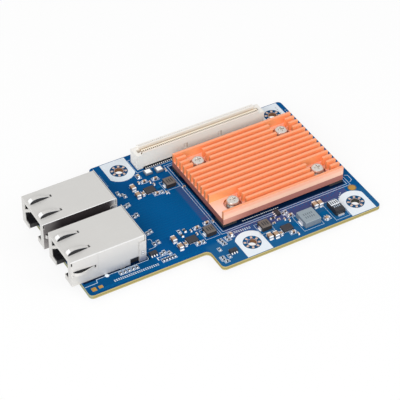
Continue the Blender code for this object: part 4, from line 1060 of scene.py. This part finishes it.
def bundle(starts, ends, turn_x, width):
    """Tracks from starts to ends. Each goes straight to turn_x, then as far across as it rises."""
    starts, ends = np.asarray(starts, float), np.asarray(ends, float)
    rise = np.maximum(abs(ends[:, 1] - starts[:, 1]), 0.02)
    first = np.stack([turn_x, starts[:, 1]], 1)
    second = np.stack([turn_x - rise, ends[:, 1]], 1)
    return strips(np.stack([starts, first, second, ends], 1), width, *TRACK)


lane = np.arange(LANES)
pair, second = lane // 2, lane % 2
long_tracks = bundle(
    np.stack([np.full(LANES, 55.2), 16.0 + pair * 0.95 + second * PAIR_GAP], 1),
    np.stack([28.6 + (pair % 3) * 0.9, 13.0 + pair * 1.22 + second * PAIR_GAP], 1),
    47.5 + abs(pair - 11) * 0.35 + np.where(pair < 11, -1, 1) * second * 0.15, 0.17,
)
lane = np.arange(SIDE_LANES)
side_tracks = bundle(
    np.stack([np.full(SIDE_LANES, 66.0), 3.6 - lane * 0.42], 1),
    np.stack([np.full(SIDE_LANES, 55.6), 1.9 - lane * 0.42], 1),
    62.0 - lane * 0.1, 0.16,
)
power_tracks = strips([
    [(45.3, 36.9), (46.4, 36.9), (47.0, 36.6), (47.9, 36.6)],
    [(45.5, 7.5), (46.6, 7.5), (47.2, 8.2), (48.1, 8.2)],
    [(77.2, -3.2), (78.2, -3.2), (78.8, -3.8), (80.2, -3.8)],
    [(86.6, -4.0), (88.2, -4.0), (89.6, -3.4), (92.9, -3.4)],
], 1.9, *TRACK)
edge_tracks = strips([
    [(2.0 + step, 1.0 + step), (14.0, 1.0 + step), (30.0, 1.0 + step), (43.0 - step, 1.0 + step)]
    for step in 0.4 * np.arange(EDGE_LANES)
], 0.18, *TRACK)
tracks = together(long_tracks, side_tracks, power_tracks, edge_tracks, flipped(long_tracks))
piece("board_tracks", tracks, [track_blue], smooth=False)

# %% [markdown]
# A via is a plated hole that joins two layers: here a small ring with a lower middle, covered by
# the lacquer. A shape that repeats this often has to be very simple.

# %% Vias
random = np.random.default_rng(7)
via = carried(round_outline(0.27, 8), [(0, SUNK), (0, 0.025), (-0.12, 0.025), (-0.15, 0.005)])
TOP_FIELDS = (
    # low corner, high corner, spacing
    ((31, 46), (34, 54), 1.3), ((28, 29), (36, 32), 1.4), ((53.4, 14), (55.2, 44), 1.2),
    ((55.5, -8.5), (57.0, 4.0), 1.3), ((62.0, 4.0), (104, 5.6), 1.5), ((106.8, 12), (109.2, 44), 1.4),
    ((20, 0.8), (44, 2.6), 1.7), ((97.6, -8.6), (98.8, 4), 1.3),
)
UNDER_FIELDS = (((64, 10), (97, 42), 1.6), ((30, 4), (52, 46), 2.4))


def scattered(low, high, spacing):
    """A loose grid between two corners: each point is moved by up to a third of the spacing."""
    x, y = np.meshgrid(np.arange(low[0], high[0], spacing), np.arange(low[1], high[1], spacing))
    grid = np.stack([x.ravel(), y.ravel()], 1)
    return grid + random.uniform(-spacing / 3, spacing / 3, grid.shape)


vias = copies(via, np.concatenate([scattered(*field) for field in TOP_FIELDS]))
under_vias = copies(flipped(via), np.concatenate([scattered(*field) for field in UNDER_FIELDS]))
piece("board_vias", together(vias, under_vias), [track_blue])

# %% [markdown]
# Chip resistors and capacitors are little blocks with metal ends that stand in solder. One
# function makes any of them: a body, two end caps a hair larger than it, and at each end a
# wedge of solder that climbs from the pad.

# %% Chip parts
BODY, METAL = 0, 1


def solder_foot(length, width, height, finish=METAL):
    """Solder from a pad up against a part: the outline shrinks as it climbs, in a hollow curve."""
    reach = min(length, width) * 0.42
    profile = [(0, SUNK), (0, 0.03), (-reach * 0.4, height * 0.3), (-reach, height)]
    return carried(soft_outline(length, width, min(length, width) * 0.2, 1), profile, finish=finish)


def both_ends(shape, reach):
    """A shape at each end of a part that lies along X, that far from its middle."""
    return copies(shape, [(-reach, 0), (reach, 0)])


def chip_part(length, width, height, cap):
    """A chip part about its middle, along X: the caps cover a length of it at each end."""
    body = soft_block(length - cap, width * 0.97, 0.03, height * 0.97, 0.04 * width, 0.05 * width, BODY)
    end = soft_block(cap, width, 0.02, height, 0.12 * width, 0.1 * width, METAL)
    foot = solder_foot(cap * 1.5, width * 1.12, height * 0.55)
    middle = (length - cap) / 2
    return together(body, both_ends(end, middle), both_ends(foot, middle + cap * 0.35))


def set_out(shape, places):
    """A shape at each row of places: x, y and its turn in degrees."""
    return copies(shape, places[:, :2], places[:, 2])


CAPACITOR = chip_part(1.6, 0.85, 0.8, 0.4)
SMALL_CAPACITOR = chip_part(1.05, 0.55, 0.5, 0.27)
RESISTOR = chip_part(1.6, 0.85, 0.45, 0.34)
SMALL_RESISTOR = chip_part(1.05, 0.55, 0.35, 0.25)

capacitor_places = np.array([
    # x, y, turn
    (42.4, 45.8, 90), (47.2, 41.8, 0), (42.9, 42.3, 0), (44.0, 34.5, 0), (51.5, 12.4, 0),
    (47.3, 11.9, 0), (44.1, 4.7, 0), (79.1, 1.5, 0), (75.4, -6.4, 0), (55.9, 3.1, 90),
    (89.7, -6.1, 0),
])
small_capacitor_places = np.array([
    (40.9, 42.7, 90), (44.7, 41.1, 90), (45.4, 39.4, 90), (52.8, 44.2, 90), (54.1, 33.0, 0),
    (44.8, 11.6, 90), (45.9, 9.3, 90), (53.9, 12.1, 90), (72.0, 0.8, 0), (74.4, 1.7, 0),
    (76.3, 0.7, 90), (77.5, -0.6, 90), (76.6, -7.9, 90), (47.1, 33.2, 90),
])
resistor_places = np.array([(42.9, 12.7, 90), (40.9, 11.0, 90), (72.9, 3.2, 0)])
small_resistor_places = np.array([
    (31.8, 41.3, 90), (32.5, 40.0, 0), (33.3, 38.8, 90), (32.3, 34.2, 90), (31.0, 33.8, 90),
    (32.4, 28.1, 90), (31.1, 27.7, 90), (32.5, 18.3, 90), (31.1, 17.9, 90), (30.6, 12.0, 90),
    (32.3, 12.3, 90), (30.4, 6.4, 90), (31.6, 6.9, 90), (33.0, 5.7, 90), (29.4, 3.4, 90),
    (30.5, 3.4, 90), (31.6, 3.4, 90), (32.7, 3.4, 90), (33.8, 3.4, 90), (41.0, 13.2, 90),
    (46.0, 34.4, 90), (45.9, 4.7, 90), (51.2, 2.7, 0), (51.4, 1.5, 0), (51.6, 0.3, 0),
    (53.9, 2.7, 0), (54.0, 1.4, 0), (48.7, -1.4, 90), (47.5, -5.2, 0), (47.5, -6.4, 0),
    (48.1, -7.6, 0), (50.0, -5.9, 90), (77.5, 3.4, 90), (78.7, 3.8, 90), (13.9, 5.0, 90),
    (15.4, 5.0, 90), (17.0, 5.0, 90), (18.5, 5.0, 90), (20.0, 5.0, 90),
])
tan_parts = together(
    set_out(CAPACITOR, capacitor_places), set_out(SMALL_CAPACITOR, small_capacitor_places)
)
piece("chip_capacitors", tan_parts, [ceramic_tan, solder])
dark_parts = together(
    set_out(RESISTOR, resistor_places), set_out(SMALL_RESISTOR, small_resistor_places)
)
piece("chip_resistors", dark_parts, [resistor_black, solder])

# %% [markdown]
# Most of the chip parts sit inside printed brackets, which on this board stand out more than the
# parts do. Each bracket is a thin printed box a little larger than the part, turned with it.

# %% Printed brackets
BRACKET_LINE = 0.22


def bracket(length, width):
    """A printed box whose line lies outside a length and a width."""
    outer = box_outline(length + BRACKET_LINE, width + BRACKET_LINE)
    return band(box_outline(length, width), outer, *PRINT)


brackets = together(
    set_out(bracket(1.75, 1.0), small_resistor_places), set_out(bracket(2.5, 1.5), capacitor_places)
)
piece("part_brackets", brackets, [print_white], smooth=False)

# %% [markdown]
# The larger ceramic capacitors are CAD nodes with plain bodies. Their metal ends are added as
# caps, a hair larger than each body and taken from its measured box, with the same solder feet.

# %% Ends of the CAD capacitors
def end_caps(node, share=0.22, proud=0.02):
    """Two caps and two solder feet for a body that lies along its longer side."""
    low, high = on_card(node)
    size, centre = high - low, (high + low) / 2
    along = int(size[1] > size[0])
    length, width, height = size[along], size[1 - along], high[2]
    cap = length * share
    end = soft_block(cap, width + 2 * proud, 0.02, height + proud, 0.2, 0.12, METAL)
    foot = solder_foot(cap * 1.35, width * 1.06, height * 0.5)
    middle = (length - cap) / 2 + proud
    pair = together(both_ends(end, middle), both_ends(foot, middle + cap * 0.3))
    return copies(pair, [centre[:2]], 90.0 * along)


capped = [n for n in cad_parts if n.startswith(("ceramic_capacitor", "bypass_capacitor"))]
capacitor_ends = together(*(end_caps(node) for node in capped))
piece("capacitor_ends", capacitor_ends, [ceramic_tan, solder])

# %% [markdown]
# The power parts show their connections too: flat leads round the regulator chips, with a dot that
# marks pin one, and wide tinned tabs up two sides of each inductor.

# %% Leads, terminals and pin marks
def chip_leads(node, per_side, width):
    """Flat leads along the four sides of a chip, which stand out a little at the board."""
    low, high = on_card(node)
    size, centre = high - low, (high + low) / 2
    lead = soft_block(0.5, width, 0.0, 0.24, 0.03, 0.03)
    spread = np.linspace(-0.36, 0.36, per_side)
    right = np.column_stack([np.full(per_side, size[0] / 2 - 0.12), spread * size[1]])
    back = np.column_stack([spread * size[0], np.full(per_side, size[1] / 2 - 0.12)])
    places = np.concatenate([right, back, -right, -back]) + centre[:2]
    return copies(lead, places, np.repeat([0, 90, 0, 90], per_side))


def side_terminals(node, width, thick=0.1, top=0.5):
    """A tinned tab up an inductor's left side and one up its right, each in solder."""
    low, high = on_card(node)
    centre, reach = (high + low) / 2, (high[0] - low[0]) / 2
    tab = soft_block(0.5, width, 0.0, top * high[2], 0.05, 0.05)
    foot = solder_foot(1.0, width * 1.15, 0.25, finish=0)
    pair = together(both_ends(tab, reach - 0.25 + thick), both_ends(foot, reach))
    return copies(pair, [centre[:2]])


regulators = [f"regulator_ic_{i}" for i in (1, 2, 3)]
inductors = [f"power_inductor_{i}" for i in (1, 2, 3)]
terminals = together(
    *(chip_leads(node, 6, 0.28) for node in regulators),
    *(side_terminals(node, 1.8) for node in inductors),
    side_terminals("filter_inductor", 2.6),
)
piece("part_terminals", terminals, [solder])

STROKE = (SUNK, 0.012)
PIN_ONE_INSET = 0.65
pin_ones = [(*(low[:2] + PIN_ONE_INSET), high[2]) for low, high in map(on_card, regulators)]
pin_marks = copies(flat_mark(round_outline(0.22, 12), *STROKE), pin_ones)
piece("pin_one_marks", pin_marks, [resistor_black])

# %% [markdown]
# The moulded capacitor carries a light band on the half that marks its positive end, with plain
# dark strokes on it and plain light ones beside it. Each stroke is placed from the middle of the
# face that it is printed on.

# %% Band and strokes on the moulded capacitor
def top_middle(node):
    """The middle of a part's top face."""
    low, high = on_card(node)
    return np.array([*(low + high)[:2] / 2, high[2]])


def across(middle, reach, count):
    """Evenly spaced places along X, as far as the reach to each side of a middle."""
    return np.linspace(middle - (reach, 0, 0), middle + (reach, 0, 0), count)


capacitor_top = top_middle("molded_capacitor")
band_middle = capacitor_top.copy()
band_middle[1] = on_card("molded_capacitor")[1][1] - 2.2
band_mark = copies(flat_mark(box_outline(3.5, 2.4), *STROKE), [band_middle])
piece("capacitor_band", band_mark, [print_white])
band_places = across(band_middle + (0, 0.1, 0), 1.2, 4)
band_strokes = copies(flat_mark(box_outline(0.42, 1.5), -0.01, 0.024), band_places)
light_places = across(capacitor_top - (0, 0.5, 0), 1.1, 4)
light_strokes = copies(flat_mark(box_outline(0.22, 0.8), *STROKE), light_places)
piece("capacitor_strokes", light_strokes, [print_fine])

# %% [markdown]
# The small inductors have one row of dark strokes each, and the large one has two finer rows in
# grey. The band's strokes are as dark as the first, so they are one piece with them.

# %% Strokes on the inductors
inductor_places = np.concatenate([across(top_middle(node), 0.9, 3) for node in inductors])
inductor_strokes = copies(flat_mark(box_outline(0.5, 1.9), *STROKE), inductor_places)
dark_strokes = together(inductor_strokes, band_strokes)
piece("inductor_marks", dark_strokes, [resistor_black])
filter_top = top_middle("filter_inductor")
filter_places = np.concatenate([across(filter_top + (0, dy, 0), 1.6, 5) for dy in (0.8, -0.8)])
grey_strokes = copies(flat_mark(box_outline(0.3, 1.0), *STROKE), filter_places)
piece("filter_marks", grey_strokes, [mark_grey])

# %% [markdown]
# The board has two bare gilded squares for test probes, and a round mark for the placing machine
# in a ring where the lacquer is left off.

# %% Test pads and placing mark
placing_mark = carried(round_outline(1.3, 32), [(0, SUNK), (0, 0.03), (-0.02, 0.04)])
placing_ring = band(round_outline(1.32, 32), round_outline(1.62, 32), SUNK, 0.02, finish=1)
gilded = together(
    copies(soft_block(1.7, 1.75, SUNK, 0.04, 0.1, 0.01), [(2.52, 2.51)]),
    copies(soft_block(1.6, 1.3, SUNK, 0.04, 0.1, 0.01), [(5.05, 2.56)]),
    copies(together(placing_mark, placing_ring), [(106.3, 3.2)]),
)
piece("gilded_pads", gilded, [pad_gold, bare_laminate])

# %% [markdown]
# The board connector's two rows of contacts show as fine gilded ribs on the trough's inner walls,
# with a bronze tip in every cell of the lips. The front tips reach nearly to the rim, where they
# show as a row of dots, and the back ones end lower.

# %% Contacts in the board connector
RIB_INSET = 1.85
RIB_HEIGHTS = (2.3, 6.2)
TIP_BOTTOM = 6.3
BACK_TIP_TOP = 6.9


def in_cells(front_shape, back_shape, inset):
    """A shape at every cell of the front row, and another at every cell of the back row."""
    return together(
        copies(front_shape, np.column_stack([CELL_X, np.full(CELL_COUNT, CONNECTOR_FRONT + inset)])),
        copies(back_shape, np.column_stack([CELL_X, np.full(CELL_COUNT, CONNECTOR_BACK - inset)])),
    )


tip = soft_block(0.38, 0.46, TIP_BOTTOM, connector_high[2] - 0.03, 0.05, 0.02)
back_tip = soft_block(0.34, 0.4, TIP_BOTTOM, BACK_TIP_TOP, 0.05, 0.04)
tips = in_cells(tip, back_tip, CELL_INSET)
rib = soft_block(0.3, 0.14, *RIB_HEIGHTS, 0.03, 0.04)
ribs = in_cells(rib, rib, RIB_INSET)
piece("connector_contacts", ribs, [contact_gold], smooth=False)
piece("contact_tips", tips, [tip_bronze], smooth=False)

# %% [markdown]
# Under the board every contact pin of the two ports ends in a cone of solder. Its profile is
# hollow, flat at the pad and steep at the pin.

# %% Solder under the ports
PIN_X = (10.85, 13.39)
PIN_COUNT = 8
PIN_PITCH = 1.27
number = np.arange(PIN_COUNT)
one_port = np.column_stack([
    np.where(number % 2, PIN_X[1], PIN_X[0]), (number - (PIN_COUNT - 1) / 2) * PIN_PITCH
])
pins = np.concatenate([one_port + (0, middle) for middle in PORT_MIDDLES])
cone = carried(
    round_outline(0.62, 14), [(0, SUNK), (0, 0.05), (-0.16, 0.16), (-0.28, 0.42), (-0.34, 0.72)]
)
piece("pin_solder", copies(flipped(cone), pins), [solder])
